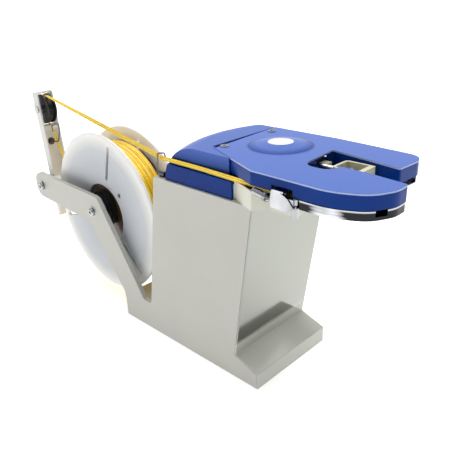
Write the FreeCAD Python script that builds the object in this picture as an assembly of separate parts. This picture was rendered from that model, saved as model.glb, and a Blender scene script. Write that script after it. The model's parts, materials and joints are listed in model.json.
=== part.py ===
import FreeCAD
import Part
import math
import os

# Bench-top ribbon strapping machine. All sizes are in millimetres.
# +X runs from the ribbon spool at the back to the jaws at the front, +Z is up, and
# the ribbon runs along the -Y side. The origin is the centre of the base's under side.

# ---------------------------------------------------------------- driving dimensions
# housing
base_length = 223.0
housing_width = 117.5
housing_height = 204.0
column_depth = 141.6
column_lean = 9.0
plate_thickness = 6.0
sheet = 2.0
base_thickness = 5.0
foot_lip_height = 19.0
foot_slope_length = 30.8
foot_slope_rise = 10.0
rear_foot_height = 29.0
rear_shelf_rise = 7.0
arm_root_height = 33.0

# spool and the arms that carry it
flange_diameter = 208.0
flange_thickness = 4.0
flange_edge_radius = 1.2
spool_width = 50.0
core_bore = 39.0
core_wall = 3.0
wound_radius = 88.0
flange_slot_inner = 49.0
flange_slot_outer = 95.5
flange_slot_width = 5.0
flange_slot_count = 3
flange_slot_angle = 75.0
spool_gap_to_column = 13.4
spool_gap_to_plate = 11.0
spool_floor_gap = 18.6
hub_clearance = 0.35
hub_ring_radius = 31.6
hub_drum_radius = 19.0
axle_radius = 6.0
arm_width = 26.0
rear_arm_length = 122.0
rear_arm_rise = 7.4
rear_arm_width = 34.0

# fasteners
screw_radius = 3.0
screw_head_radius = 5.25
screw_head_height = 3.3
washer_radius = 6.0
washer_thickness = 1.2
hole_clearance = 0.1
screw_depth = 12.0

# tension arm
pivot_radius = 5.0
running_fit = 0.05
side_play = 0.3
arm_channel_width = 24.0
arm_channel_depth = 12.0
arm_channel_wall = 2.0
arm_offset = 10.7
arm_above_pivot = 127.0
arm_below_pivot = 50.0
arm_lean = 6.2
pulley_radius = 20.0
pulley_width = 12.0
pulley_groove = 2.5
pulley_below_top = 24.0
pulley_axle_radius = 3.0

# ribbon
ribbon_width = 5.5
ribbon_thickness = 0.9

# head
tray_height = 19.0
tray_wall = 1.5
tray_nose_length = 39.0
tray_nose_half_width = 51.0
flare_reach = 6.0
tray_back = 31.0
skirt_height = 14.0
cover_gap = 6.0
cover_wall = 2.5
head_half_width = 66.0
jaw_thickness = 3.0
jaw_rim_height = 8.0
jaw_rim = 2.5
jaw_inset = 0.8
jaw_gap = 1.0
disc_radius = 35.0
disc_height = 4.5
badge_radius = 12.8
badge_thickness = 0.8
bow_middle_y = 15.0
ledge_height = 18.0
ledge_width = 4.5
skirt_inset = 2.75
seam_gap = 0.95
seam_run = 73.0
seam_y = 36.0

# drives in the head
motor_radius = 18.0
motor_length = 62.0
motor_shaft_radius = 3.0
gear_module = 1.0
pinion_teeth = 14
drive_gear_teeth = 40
idler_teeth = 28
needle_pinion_teeth = 16
gear_width = 5.0
gear_backlash = 0.12
gear_shaft_radius = 4.0
idler_post_radius = 3.0
twist_gear_teeth = 20
twist_gear_module = 0.5
twist_motor_radius = 12.0
twist_motor_length = 41.0
twist_shaft_radius = 3.0
trigger_length = 30.0
trigger_width = 25.0
trigger_height = 10.0
trigger_wall = 2.5
guide_notch = 18.0

# ---------------------------------------------------------------- derived places
front = base_length / 2
half_width = housing_width / 2
inner_y = half_width - plate_thickness
lean = math.tan(math.radians(column_lean))
slope_top_z = foot_lip_height + foot_slope_rise
slope_top_x = front - foot_slope_length
top_z = housing_height
head_x = slope_top_x + (top_z - slope_top_z) * lean
tray_top = top_z + tray_height
skirt_bottom = tray_top + cover_gap
cover_top = skirt_bottom + skirt_height
roof = cover_top - cover_wall

nodes = {}


def vec(x, y, z):
    return FreeCAD.Vector(x, y, z)


def keep(name, *solids):
    shape = solids[0] if len(solids) == 1 else Part.makeCompound(list(solids))
    nodes[name] = shape
    return shape


def box(x_range, y_range, z_range):
    size = [high - low for low, high in (x_range, y_range, z_range)]
    return Part.makeBox(*size, vec(x_range[0], y_range[0], z_range[0]))


def rod(start, direction, radius, length):
    return Part.makeCylinder(radius, length, vec(*start), vec(*direction))


def pipe(start, direction, outer, inner, length):
    return rod(start, direction, outer, length).cut(rod(start, direction, inner, length))


def fuse(*solids):
    shape = solids[0]
    for other in solids[1:]:
        shape = shape.fuse(other)
    return shape.removeSplitter()


def cut(shape, *tools):
    for tool in tools:
        shape = shape.cut(tool)
    return shape


def placed(point, plane, level):
    """A point of a flat outline, put in the plane XZ or XY at the given level."""
    return vec(point[0], level, point[1]) if plane == "XZ" else vec(point[0], point[1], level)


def outline(corners, plane, level):
    """A closed wire of straight runs whose corners (a, b, radius) are rounded by arcs."""
    flat = [vec(a, b, 0) for a, b, radius in corners]
    edges = []
    last_end = None
    first_start = None
    for i, (a, b, radius) in enumerate(corners):
        here = flat[i]
        back = (flat[i - 1] - here).normalize()
        ahead = (flat[(i + 1) % len(flat)] - here).normalize()
        half = back.getAngle(ahead) / 2
        run = radius / math.tan(half)
        start = here + back * run
        end = here + ahead * run
        middle_way = (back + ahead).normalize()
        middle = here + middle_way * (radius / math.sin(half) - radius)
        points = [placed((p.x, p.y), plane, level) for p in (start, middle, end)]
        if last_end is not None and (points[0] - last_end).Length > 1e-6:
            edges.append(Part.LineSegment(last_end, points[0]).toShape())
        if radius > 0:
            edges.append(Part.Arc(*points).toShape())
        if first_start is None:
            first_start = points[0]
        last_end = points[2]
    if (first_start - last_end).Length > 1e-6:
        edges.append(Part.LineSegment(last_end, first_start).toShape())
    return Part.Wire(edges)


def plate_xz(corners, y_range):
    face = Part.Face(outline(corners, "XZ", y_range[0]))
    return face.extrude(vec(0, y_range[1] - y_range[0], 0))


def plate_xy(corners, z_range):
    face = Part.Face(outline(corners, "XY", z_range[0]))
    return face.extrude(vec(0, 0, z_range[1] - z_range[0]))


def inset_plate_xy(corners, inset, z_range):
    wire = outline(corners, "XY", z_range[0]).makeOffset2D(-inset)
    return Part.Face(wire).extrude(vec(0, 0, z_range[1] - z_range[0]))


def inner_line(points, thickness):
    """The inner side of a sheet folded along the points (x, z), on the left of the way they run."""
    starts = []
    ways = []
    for (x0, z0), (x1, z1) in zip(points, points[1:]):
        way = vec(x1 - x0, 0, z1 - z0).normalize()
        ways.append(way)
        starts.append(vec(x0, 0, z0) + vec(-way.z, 0, way.x) * thickness)
    line = [starts[0]]
    for (start_a, way_a), (start_b, way_b) in zip(zip(starts, ways), zip(starts[1:], ways[1:])):
        cross = way_a.x * way_b.z - way_a.z * way_b.x
        gap = start_b - start_a
        line.append(start_a + way_a * ((gap.x * way_b.z - gap.z * way_b.x) / cross))
    end = points[-1]
    line.append(vec(end[0], 0, end[1]) + vec(-ways[-1].z, 0, ways[-1].x) * thickness)
    return [(p.x, p.z) for p in line]


def folded_sheet(points, thickness, y_range):
    corners = [(x, z, 0) for x, z in points + inner_line(points, thickness)[::-1]]
    return plate_xz(corners, y_range)


def gear(centre, teeth, module, width, bore, turn=0.0, axis=(0, 0, 1)):
    """A spur gear with straight-sided teeth; turn is the angle of its first tooth in degrees."""
    pitch_radius = module * teeth / 2
    tip = pitch_radius + 0.9 * module
    root = pitch_radius - 1.15 * module
    step = 2 * math.pi / teeth
    half_tooth = step / 4 - gear_backlash / pitch_radius / 2
    points = []
    for i in range(teeth):
        middle = math.radians(turn) + i * step
        for radius, share in ((root, -1.55), (tip, -0.5), (tip, 0.5), (root, 1.55)):
            angle = middle + share * half_tooth
            points.append(vec(radius * math.cos(angle), radius * math.sin(angle), 0))
    points.append(points[0])
    solid = Part.Face(Part.makePolygon(points)).extrude(vec(0, 0, width))
    solid = solid.cut(Part.makeCylinder(bore, width))
    solid.Placement = FreeCAD.Placement(vec(*centre), FreeCAD.Rotation(vec(0, 0, 1), vec(*axis)))
    return solid


def screw(head_seat, way, length):
    """A round-headed screw: its head stands on head_seat, its shank runs along way."""
    shank = rod(head_seat, way, screw_radius, length)
    out = [-w for w in way]
    head = rod(head_seat, out, screw_head_radius, screw_head_height)
    rim = [e for e in head.Edges if e.Length > 30 and abs((e.CenterOfMass - vec(*head_seat)).Length) > 1]
    head = head.makeFillet(1.8, rim)
    socket_start = [s + o * screw_head_height for s, o in zip(head_seat, out)]
    return fuse(head, shank).cut(rod(socket_start, way, 2.0, 2.0))


def washer(seat, way, outer=washer_radius, bore=screw_radius + hole_clearance):
    out = [-w for w in way]
    return pipe(seat, out, outer, bore, washer_thickness)


# ---------------------------------------------------------------- places of the spool and arm
rear_edge_foot = slope_top_x - column_depth - slope_top_z * lean


def column_rear(z):
    return rear_edge_foot + z * lean


spool_z = spool_floor_gap + flange_diameter / 2
spool_x = column_rear(spool_z) - spool_gap_to_column - flange_diameter / 2
axle_z = spool_z + core_bore - hub_ring_radius - hub_clearance
axle_x = spool_x
spool_y = -inner_y + spool_gap_to_plate
pivot_x = axle_x - rear_arm_length
pivot_z = axle_z + rear_arm_rise
arm_y = -inner_y + arm_offset
arm_mid_y = arm_y + arm_channel_width / 2
arm_sin = math.sin(math.radians(arm_lean))
arm_cos = math.cos(math.radians(arm_lean))


def on_arm(forward, up):
    """A place on the tension arm, from its pivot: across the channel and along it."""
    return pivot_x + forward * arm_cos - up * arm_sin, pivot_z + forward * arm_sin + up * arm_cos


pulley_up = arm_above_pivot - pulley_below_top
pulley_x, pulley_z = on_arm(0, pulley_up)


# ---------------------------------------------------------------- housing
front_folds = [(front, 0), (front, foot_lip_height), (slope_top_x, slope_top_z), (head_x, top_z)]


def side_plate(side):
    """One side plate with its spool arm; side is -1 for the ribbon side and 1 for the other."""
    outer = side * half_width
    inner = side * inner_y
    y_range = sorted((outer, inner))
    folds = inner_line(front_folds, sheet)
    arm_way = vec(axle_x - column_rear(arm_root_height), 0, axle_z - arm_root_height).normalize()
    across = vec(arm_way.z, 0, -arm_way.x) * (arm_width / 2)
    low = vec(axle_x, 0, axle_z) - across
    high = vec(axle_x, 0, axle_z) + across
    root_back = -base_length / 2 - 1.5
    root_x = column_rear(arm_root_height)
    tip_x = pivot_x - 18.0
    corners = [
        (*folds[0], 0),
        (*folds[1], 0),
        (*folds[2], 0),
        (folds[2][0] + (top_z - folds[2][1]) * lean, top_z, 0),
        (column_rear(top_z), top_z, 2.0),
        (root_x + 1.0, arm_root_height + 3.0, 4.0),
        (root_x - 13.0, arm_root_height + 3.0, 4.0),
        (high.x + 4.0, axle_z + 20.0, 3.0),
        (high.x - 4.0, axle_z + 22.0, 3.0),
        (tip_x, pivot_z + rear_arm_width / 2 + 2.0, 15.0),
        (tip_x, pivot_z - rear_arm_width / 2 + 1.0, 15.0),
        (low.x - 2.0, axle_z - 16.0, 8.0),
        (root_back, arm_root_height, 2.0),
        (-base_length / 2, rear_foot_height - 4.0, 1.0),
        (-base_length / 2, 0, 0),
    ]
    body = plate_xz(corners, y_range)
    for x, z in ((axle_x, axle_z), (pivot_x, pivot_z)):
        start = (x, y_range[0] - 1, z)
        body = body.cut(rod(start, (0, 1, 0), screw_radius + hole_clearance, plate_thickness + 2))
    return body


keep("side_plate_near", side_plate(-1))
keep("side_plate_far", side_plate(1))
front_sheet = folded_sheet(front_folds, sheet, (-half_width, half_width))
keep("front_panel", front_sheet.common(box((0, 200), (-200, 200), (0, top_z))))
shelf_z = rear_foot_height + rear_shelf_rise
rear_wall = folded_sheet(
    [(column_rear(top_z), top_z), (column_rear(shelf_z), shelf_z),
     (-base_length / 2, rear_foot_height), (-base_length / 2, 0)],
    sheet, (-inner_y, inner_y))
inlet_y = 30.0
inlet_z = 15.5
inlet_half = (13.5, 9.5)
switch_y = -4.0
switch_half = (6.5, 9.5)
for y, half in ((inlet_y, inlet_half), (switch_y, switch_half)):
    rear_wall = rear_wall.cut(box((-base_length / 2 - 5, -base_length / 2 + 5),
                                  (y - half[0] - 0.2, y + half[0] + 0.2),
                                  (inlet_z - half[1] - 0.2, inlet_z + half[1] + 0.2)))
keep("rear_panel", rear_wall)
keep("base_plate", box((-base_length / 2 + sheet, front - sheet), (-inner_y, inner_y), (0, base_thickness)))

# mains socket and rocker switch in the low rear wall
socket_depth = 22.0
socket_face = -base_length / 2 - 1.8
socket_body = fuse(
    box((-base_length / 2, -base_length / 2 + socket_depth),
        (inlet_y - inlet_half[0], inlet_y + inlet_half[0]),
        (inlet_z - inlet_half[1], inlet_z + inlet_half[1])),
    box((socket_face, -base_length / 2), (inlet_y - inlet_half[0] - 2, inlet_y + inlet_half[0] + 2),
        (inlet_z - inlet_half[1] - 1.5, inlet_z + inlet_half[1] + 1.5)))
socket_body = socket_body.cut(box((socket_face - 1, socket_face + 16), (inlet_y - 11.5, inlet_y + 11.5),
                                  (inlet_z - 7.5, inlet_z + 7.5)))
inlet_pins = [box((socket_face + 3, socket_face + 16), (inlet_y + dy - 1.0, inlet_y + dy + 1.0),
                  (inlet_z + dz - 2, inlet_z + dz + 2)) for dy, dz in ((-7, -2), (0, 2), (7, -2))]
keep("power_inlet", socket_body, *inlet_pins)
bezel = fuse(
    box((-base_length / 2, -base_length / 2 + 16), (switch_y - switch_half[0], switch_y + switch_half[0]),
        (inlet_z - switch_half[1], inlet_z + switch_half[1])),
    box((socket_face, -base_length / 2), (switch_y - switch_half[0] - 1.5, switch_y + switch_half[0] + 1.5),
        (inlet_z - switch_half[1] - 1.5, inlet_z + switch_half[1] + 1.5)))
bezel = bezel.cut(box((socket_face - 1, -base_length / 2 + 10), (switch_y - 5, switch_y + 5),
                      (inlet_z - 8, inlet_z + 8)))
keep("switch_body", bezel)
rocker_x = -base_length / 2 + 3.0
rocker = plate_xz([(rocker_x - 6.2, inlet_z - 6.8, 0.5), (rocker_x - 5.2, inlet_z, 8.0),
                   (rocker_x - 3.8, inlet_z + 6.8, 0.5), (rocker_x + 2.6, inlet_z + 4.5, 0.5),
                   (rocker_x + 2.6, inlet_z - 4.5, 0.5)], (switch_y - 4.7, switch_y + 4.7))
keep("switch_rocker", rocker)

# power supply and control board inside the foot and column
supply_x = slope_top_x - 62.0
keep("power_supply", box((supply_x - 30, supply_x + 30), (-24, 24), (base_thickness, base_thickness + 42)))
board_y = inner_y - 8.0
board = box((supply_x - 30, supply_x + 30), (board_y - 1.6, board_y), (70, 132))
parts_on_board = [box((x, x + 10), (board_y - 9.6, board_y - 1.6), (80, 96))
                  for x in (supply_x - 22, supply_x - 6, supply_x + 10)]
pillars = [rod((x, board_y, z), (0, 1, 0), 3.0, inner_y - board_y)
           for x in (supply_x - 25, supply_x + 25) for z in (76, 126)]
keep("control_board", fuse(board, *parts_on_board), *pillars)

# ---------------------------------------------------------------- spool, hub and axle
axle = rod((axle_x, -inner_y, axle_z), (0, 1, 0), axle_radius, 2 * inner_y)
for y, way in ((-inner_y, 1), (inner_y, -1)):
    axle = axle.cut(rod((axle_x, y, axle_z), (0, way, 0), screw_radius, screw_depth))
keep("spool_axle", axle)


def end_screws(x, z):
    near_seat = (x, -half_width - washer_thickness, z)
    far_seat = (x, half_width + washer_thickness, z)
    length = plate_thickness + washer_thickness + screw_depth - 2.0
    return (screw(near_seat, (0, 1, 0), length), screw(far_seat, (0, -1, 0), length),
            washer((x, -half_width, z), (0, 1, 0)), washer((x, half_width, z), (0, -1, 0)))


hub_near = spool_y - 2.0
hub_far = spool_y + spool_width + 2.0
hub = fuse(
    rod((axle_x, hub_near, axle_z), (0, 1, 0), hub_drum_radius, 26.0),
    rod((axle_x, hub_near + 26.0, axle_z), (0, 1, 0), hub_ring_radius, spool_width - 34.0),
    rod((axle_x, hub_far - 12.0, axle_z), (0, 1, 0), hub_drum_radius, 12.0),
    rod((axle_x, hub_near - 1.0, axle_z), (0, 1, 0), 10.0, 1.0))
groove = pipe((axle_x, hub_near + 14.0, axle_z), (0, 1, 0), hub_drum_radius + 1, hub_drum_radius - 1.5, 1.6)
keep("spool_hub", cut(hub, groove, rod((axle_x, hub_near - 2, axle_z), (0, 1, 0), axle_radius, 80)))
axle_spacers = [
    pipe((axle_x, -inner_y, axle_z), (0, 1, 0), 9.0, axle_radius, hub_near - 1.0 + inner_y),
    pipe((axle_x, hub_far, axle_z), (0, 1, 0), 9.0, axle_radius, inner_y - hub_far)]


def flange(near_face):
    centre = (spool_x, near_face, spool_z)
    disc = rod(centre, (0, 1, 0), flange_diameter / 2, flange_thickness)
    rims = [e for e in disc.Edges if e.Length > 500]
    disc = disc.makeFillet(flange_edge_radius, rims)
    disc = disc.cut(rod(centre, (0, 1, 0), core_bore, flange_thickness))
    for i in range(flange_slot_count):
        inner = flange_slot_inner + flange_slot_width / 2
        outer = flange_slot_outer - flange_slot_width / 2
        slot = fuse(
            box((inner, outer), (0, flange_thickness), (-flange_slot_width / 2, flange_slot_width / 2)),
            rod((inner, 0, 0), (0, 1, 0), flange_slot_width / 2, flange_thickness),
            rod((outer, 0, 0), (0, 1, 0), flange_slot_width / 2, flange_thickness))
        slot.rotate(vec(0, 0, 0), vec(0, 1, 0), -(flange_slot_angle + 360.0 / flange_slot_count * i))
        slot.translate(vec(*centre))
        disc = disc.cut(slot)
    peg_hole_angle = math.radians(41.6)
    hole_x = spool_x + 48.5 * math.cos(peg_hole_angle)
    hole_z = spool_z + 48.5 * math.sin(peg_hole_angle)
    return disc.cut(rod((hole_x, near_face, hole_z), (0, 1, 0), 3.2, flange_thickness))


far_flange_y = spool_y + spool_width - flange_thickness
keep("spool_flanges", flange(spool_y), flange(far_flange_y))
core_start = spool_y + flange_thickness
core_length = far_flange_y - core_start
core_radius = core_bore + core_wall
keep("spool_core", pipe((spool_x, core_start, spool_z), (0, 1, 0), core_radius, core_bore, core_length))
coil = pipe((spool_x, core_start, spool_z), (0, 1, 0), wound_radius, core_radius, core_length)
keep("ribbon_coil", coil.makeFillet(3.0, [e for e in coil.Edges if e.Length > 500]))

# ---------------------------------------------------------------- tension arm
shaft = rod((pivot_x, -inner_y, pivot_z), (0, 1, 0), pivot_radius, 2 * inner_y)
for y, way in ((-inner_y, 1), (inner_y, -1)):
    shaft = shaft.cut(rod((pivot_x, y, pivot_z), (0, way, 0), screw_radius, screw_depth))
keep("arm_pivot_shaft", shaft)
bush_washer = pipe((pivot_x, -inner_y, pivot_z), (0, 1, 0), 9.0, pivot_radius, washer_thickness)
keep("arm_screws", *end_screws(axle_x, axle_z), *end_screws(pivot_x, pivot_z), bush_washer)
near_gap = arm_offset - side_play
bush_start = -inner_y + washer_thickness
keep("pivot_bush", pipe((pivot_x, bush_start, pivot_z), (0, 1, 0), 11.0, pivot_radius,
                        near_gap - washer_thickness))
far_gap_start = arm_y + arm_channel_width + side_play
spring_start = far_gap_start + 3.0
pivot_spacer = fuse(
    pipe((pivot_x, far_gap_start, pivot_z), (0, 1, 0), 8.0, pivot_radius, inner_y - far_gap_start),
    pipe((pivot_x, spring_start + 22.5, pivot_z), (0, 1, 0), 12.0, pivot_radius, 8.0))
keep("tube_spacers", *axle_spacers, pivot_spacer)


def arm_solid(forward, up, y_range):
    """A block in the arm's own tilted frame."""
    corners = [on_arm(forward[0], up[0]), on_arm(forward[1], up[0]),
               on_arm(forward[1], up[1]), on_arm(forward[0], up[1])]
    return plate_xz([(x, z, 0) for x, z in corners], y_range)


half_depth = arm_channel_depth / 2
pulley_clear = pulley_up - pulley_radius - 1.5
cheek_corners = [(-half_depth, -arm_below_pivot, 1.0), (-half_depth + 4.0, -arm_below_pivot, 1.0),
                 (half_depth, -20.0, 10.0), (half_depth, arm_above_pivot, 3.0),
                 (-half_depth, arm_above_pivot, 3.0)]
cheek_outline = [on_arm(f, u) + (r,) for f, u, r in cheek_corners]
near_cheek = plate_xz(cheek_outline, (arm_y, arm_y + arm_channel_wall))
far_cheek_y = arm_y + arm_channel_width - arm_channel_wall
far_cheek = plate_xz(cheek_outline, (far_cheek_y, far_cheek_y + arm_channel_wall))
web = arm_solid((-half_depth, -half_depth + arm_channel_wall), (-arm_below_pivot, pulley_clear),
                (arm_y, arm_y + arm_channel_width))
arm = fuse(near_cheek, far_cheek, web)
boss_tube = rod((pivot_x, arm_y, pivot_z), (0, 1, 0), pivot_radius + 3.5, arm_channel_width)
arm = fuse(arm, boss_tube)
through_arm = arm_channel_width + 2
arm = arm.cut(rod((pivot_x, arm_y - 1, pivot_z), (0, 1, 0), pivot_radius + running_fit, through_arm))
arm = arm.cut(rod((pulley_x, arm_y - 1, pulley_z), (0, 1, 0), pulley_axle_radius, through_arm))
keep("tension_arm", arm)
inside = (arm_y + arm_channel_wall, arm_y + arm_channel_width - arm_channel_wall)
keep("arm_cross_blocks",
     arm_solid((-half_depth, half_depth - 1), (arm_above_pivot - 3.0, arm_above_pivot - 0.5), inside),
     arm_solid((-half_depth + arm_channel_wall, half_depth - 1),
              (pulley_clear - 7.0, pulley_clear - 1.0), inside))
pulley_y = arm_mid_y - pulley_width / 2
wheel = rod((pulley_x, pulley_y, pulley_z), (0, 1, 0), pulley_radius, pulley_width)
groove_ring = pipe((pulley_x, arm_mid_y - ribbon_width / 2 - 0.6, pulley_z), (0, 1, 0),
                   pulley_radius + 1, pulley_radius - pulley_groove, ribbon_width + 1.2)
wheel = wheel.cut(groove_ring)
wheel = wheel.cut(rod((pulley_x, pulley_y - 1, pulley_z), (0, 1, 0),
                      pulley_axle_radius + running_fit, pulley_width + 2))
keep("guide_pulley", wheel)
pulley_spacer_length = (arm_channel_width - 2 * arm_channel_wall - pulley_width) / 2 - side_play
keep("pulley_axle",
     fuse(rod((pulley_x, arm_y, pulley_z), (0, 1, 0), pulley_axle_radius, arm_channel_width),
          rod((pulley_x, arm_y - 2.2, pulley_z), (0, 1, 0), screw_head_radius - 0.8, 2.2)),
     *[pipe((pulley_x, y, pulley_z), (0, 1, 0), 5.0, pulley_axle_radius, pulley_spacer_length)
       for y in (arm_y + arm_channel_wall, arm_mid_y + pulley_width / 2 + side_play)])


def wire_path(points, radius, wire_radius):
    """A round wire through the points, its bends rounded to the radius."""
    corners = [vec(*p) for p in points]
    edges = []
    last = corners[0]
    for before, here, after in zip(corners, corners[1:], corners[2:]):
        back = (before - here).normalize()
        ahead = (after - here).normalize()
        half = back.getAngle(ahead) / 2
        run = radius / math.tan(half)
        start = here + back * run
        end = here + ahead * run
        middle = here + (back + ahead).normalize() * (radius / math.sin(half) - radius)
        edges.append(Part.LineSegment(last, start).toShape())
        edges.append(Part.Arc(start, middle, end).toShape())
        last = end
    edges.append(Part.LineSegment(last, corners[-1]).toShape())
    path = Part.Wire(edges)
    way = (corners[1] - corners[0]).normalize()
    profile = Part.Wire([Part.makeCircle(wire_radius, corners[0], way)])
    return path.makePipeShell([profile], True, True)


wire_radius = 0.8
eye_up = pulley_clear - 12.0
eye_x, eye_z = on_arm(half_depth + 10.0, eye_up + 6.0)
wire_foot_x, wire_foot_z = on_arm(-half_depth + arm_channel_wall, eye_up - 12.0)
wire_mid_x, wire_mid_z = on_arm(half_depth + 10.0, eye_up - 12.0)
eye_half = 5.0
arm_eye = wire_path(
    [(wire_foot_x, arm_mid_y, wire_foot_z), (wire_mid_x, arm_mid_y, wire_mid_z),
     (eye_x, arm_mid_y + eye_half, eye_z - 5), (eye_x, arm_mid_y + eye_half, eye_z + 6),
     (eye_x, arm_mid_y - eye_half, eye_z + 6), (eye_x, arm_mid_y - eye_half, eye_z - 3)], 2.2, wire_radius)
screw_x, screw_z = on_arm(-half_depth + arm_channel_wall, eye_up - 12.0)
eye_screw = fuse(
    pipe((screw_x, arm_mid_y, screw_z), (arm_cos, 0, arm_sin), 5.0, wire_radius, 1.0),
    pipe((screw_x + arm_cos, arm_mid_y, screw_z + arm_sin), (arm_cos, 0, arm_sin), 3.6, wire_radius, 2.6))
keep("arm_wire_guide", arm_eye, eye_screw)

# a torsion spring round the spacer, between the far cheek and the spacer's collar
keep("arm_spring", pipe((pivot_x, spring_start, pivot_z), (0, 1, 0), 10.6, 8.6, 22.0))

# ---------------------------------------------------------------- tray, jaw plate and covers
flare_y = half_width + flare_reach
flare_x = head_x + 3.5
skirt_y = half_width - skirt_inset
skirt_front = flare_x - tray_back - 1.5
tray_half = skirt_y - cover_wall - 0.4
cover_back = column_rear(top_z) - 1.0
bow_half = skirt_y + bow_middle_y
bow_radius = (bow_half ** 2 + guide_notch ** 2) / (2 * guide_notch)
cover_height = cover_top - top_z


def dome_shell(inset):
    """The rear cover's bowed and rounded envelope, drawn in by the inset on its rear and its top."""
    reach = bow_radius - inset
    height = cover_height - inset
    bottom = top_z - 1.0
    half_turn = math.sqrt(0.5) * height
    side = Part.LineSegment(vec(reach, 0, bottom), vec(reach, 0, top_z)).toShape()
    curve = Part.Arc(vec(reach, 0, top_z), vec(reach - height + half_turn, 0, top_z + half_turn),
                     vec(reach - height, 0, top_z + height)).toShape()
    crown = vec(0, 0, top_z + height)
    roof_line = Part.LineSegment(vec(reach - height, 0, top_z + height), crown).toShape()
    axis_line = Part.LineSegment(crown, vec(0, 0, bottom)).toShape()
    floor_line = Part.LineSegment(vec(0, 0, bottom), vec(reach, 0, bottom)).toShape()
    face = Part.Face(Part.Wire([side, curve, roof_line, axis_line, floor_line]))
    solid = face.revolve(vec(0, 0, 0), vec(0, 0, 1), 360)
    solid.rotate(vec(0, 0, 0), vec(0, 0, 1), 30.0)
    solid.translate(vec(cover_back + bow_radius, bow_middle_y, 0))
    return solid


tray_rear = cover_back + cover_wall + 0.5
tray_corners = [
    (tray_rear, -tray_half, 0),
    (skirt_front + 1.0, -tray_half, 1.0), (skirt_front + 1.5, -inner_y, 1.0),
    (flare_x, -flare_y, 1.0),
    (flare_x + 7.0, -tray_nose_half_width, 2.0), (flare_x + tray_nose_length, -tray_nose_half_width, 2.0),
    (flare_x + tray_nose_length, tray_nose_half_width, 2.0), (flare_x + 7.0, tray_nose_half_width, 2.0),
    (flare_x, flare_y, 1.0), (skirt_front + 1.5, inner_y, 1.0), (skirt_front + 1.0, tray_half, 1.0),
    (tray_rear, tray_half, 0)]
tray_floor = top_z + tray_wall
nose_top = tray_top - jaw_thickness - 0.2
tray = plate_xy(tray_corners, (top_z, tray_top)).common(dome_shell(cover_wall + 0.5))
tray_inside = inset_plate_xy(tray_corners, tray_wall, (tray_floor, tray_top + 1))
tray = tray.cut(tray_inside.common(dome_shell(cover_wall + 0.5 + tray_wall)))
tray = tray.cut(box((flare_x + 7.5, flare_x + 60), (-70, 70), (nose_top, tray_top + 1)))
tray = tray.cut(box((tray_rear - 5, skirt_front + 1.2), (-70, 70),
                    (top_z + ledge_height - cover_wall - 0.5, tray_top + 1)))

# jaw outline, from the flare corner forward
ribbon_corner = -flare_y - 0.5
seam_x = flare_x - seam_run
near_jaw = [
    (flare_x + 83.5, -flare_y - 2.25, 60.0),
    (flare_x + 111.5, -54.0, 30.0),
    (flare_x + 122.0, -33.0, 25.0),
    (flare_x + 121.8, -15.5, 3.0),
]
throat_near = [
    (flare_x + 84.5, -10.8, 60.0),
    (flare_x + 55.5, -9.6, 2.0),
    (flare_x + 53.5, -25.0, 11.0),
    (flare_x + 26.0, -25.0, 12.0),
    (flare_x + 21.2, 28.5, 2.5),
]
far_jaw = [
    (flare_x + 97.5, 16.0, 2.0),
    (flare_x + 100.0, 59.5, 17.0),
    (flare_x + 4.5, head_half_width, 60.0),
]
cover_outline = ([(seam_x, -seam_y, 1.0), (flare_x, ribbon_corner, 1.5)] + near_jaw + throat_near + far_jaw
                 + [(seam_x - 6.0, head_half_width - 1.0, 2.0)])
disc_centre = (flare_x - 27.0, 10.0)
front_cover = plate_xy(cover_outline, (skirt_bottom, cover_top))
inside_cover = inset_plate_xy(cover_outline, cover_wall, (skirt_bottom - 1, roof))
window = box((flare_x + 24.0, flare_x + 46.5), (-75, -58), (skirt_bottom - 1, skirt_bottom + 6.0))
open_back = box((seam_x - 20, seam_x + 4.0), (-33, 62), (skirt_bottom - 1, roof))
shaft_slot = box((flare_x + 16.0, flare_x + 27.0), (-1.0, 20.5), (skirt_bottom - 1, roof))
front_cover = cut(front_cover, inside_cover, window, open_back, shaft_slot)
dome = Part.makeSphere((disc_radius ** 2 + disc_height ** 2) / (2 * disc_height))
dome_sphere_radius = (disc_radius ** 2 + disc_height ** 2) / (2 * disc_height)
dome.translate(vec(disc_centre[0], disc_centre[1], cover_top + disc_height - dome_sphere_radius))
dome = dome.common(rod((*disc_centre, cover_top - 0.2), (0, 0, 1), disc_radius, disc_height + 2))
badge_seat = cover_top + disc_height - 0.9
dome = dome.cut(rod((*disc_centre, badge_seat), (0, 0, 1), badge_radius + 0.15, 5))
keep("front_cover", fuse(front_cover, dome))
keep("cover_badge", rod((*disc_centre, badge_seat), (0, 0, 1), badge_radius, badge_thickness))

# rear cover: a low skirt that carries the ribbon ledge, and a rounded top behind the seam
far_y = head_half_width - 2.0
upper_y = skirt_y - ledge_width
seam_end_x = seam_x + (upper_y - seam_y - seam_gap) / (-ribbon_corner - seam_y) * seam_run
ledge_z = top_z + ledge_height
low_outline = [(skirt_front, -skirt_y, 0.5), (cover_back, -skirt_y, 0), (cover_back, skirt_y, 0),
               (skirt_front, skirt_y, 0.5)]
upper_outline = [(seam_end_x, -upper_y, 0.5), (cover_back, -upper_y, 0), (cover_back, far_y, 0),
                 (seam_x - 6.8, far_y, 0.5), (seam_x - 0.6, -seam_y - 0.7, 0.5)]
low_part = plate_xy(low_outline, (top_z, ledge_z))
upper_part = plate_xy(upper_outline, (ledge_z - 3.0, cover_top))
low_hollow = box((cover_back, skirt_front + 5.0), (-skirt_y + cover_wall, skirt_y - cover_wall),
                 (top_z - 1, ledge_z - cover_wall))
upper_hollow = inset_plate_xy(upper_outline, cover_wall, (ledge_z - 5.0, roof))
hollow = dome_shell(cover_wall)
shell = fuse(low_part, upper_part).common(dome_shell(0.0))
seam_opening = box((seam_x - 16, skirt_front + 1), (-33, skirt_y - cover_wall), (top_z - 1, cover_top + 1))
seam_opening = seam_opening.cut(box((seam_x - 20, seam_x - 6.5), (-40, 70), (roof - 0.01, cover_top + 2)))
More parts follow.
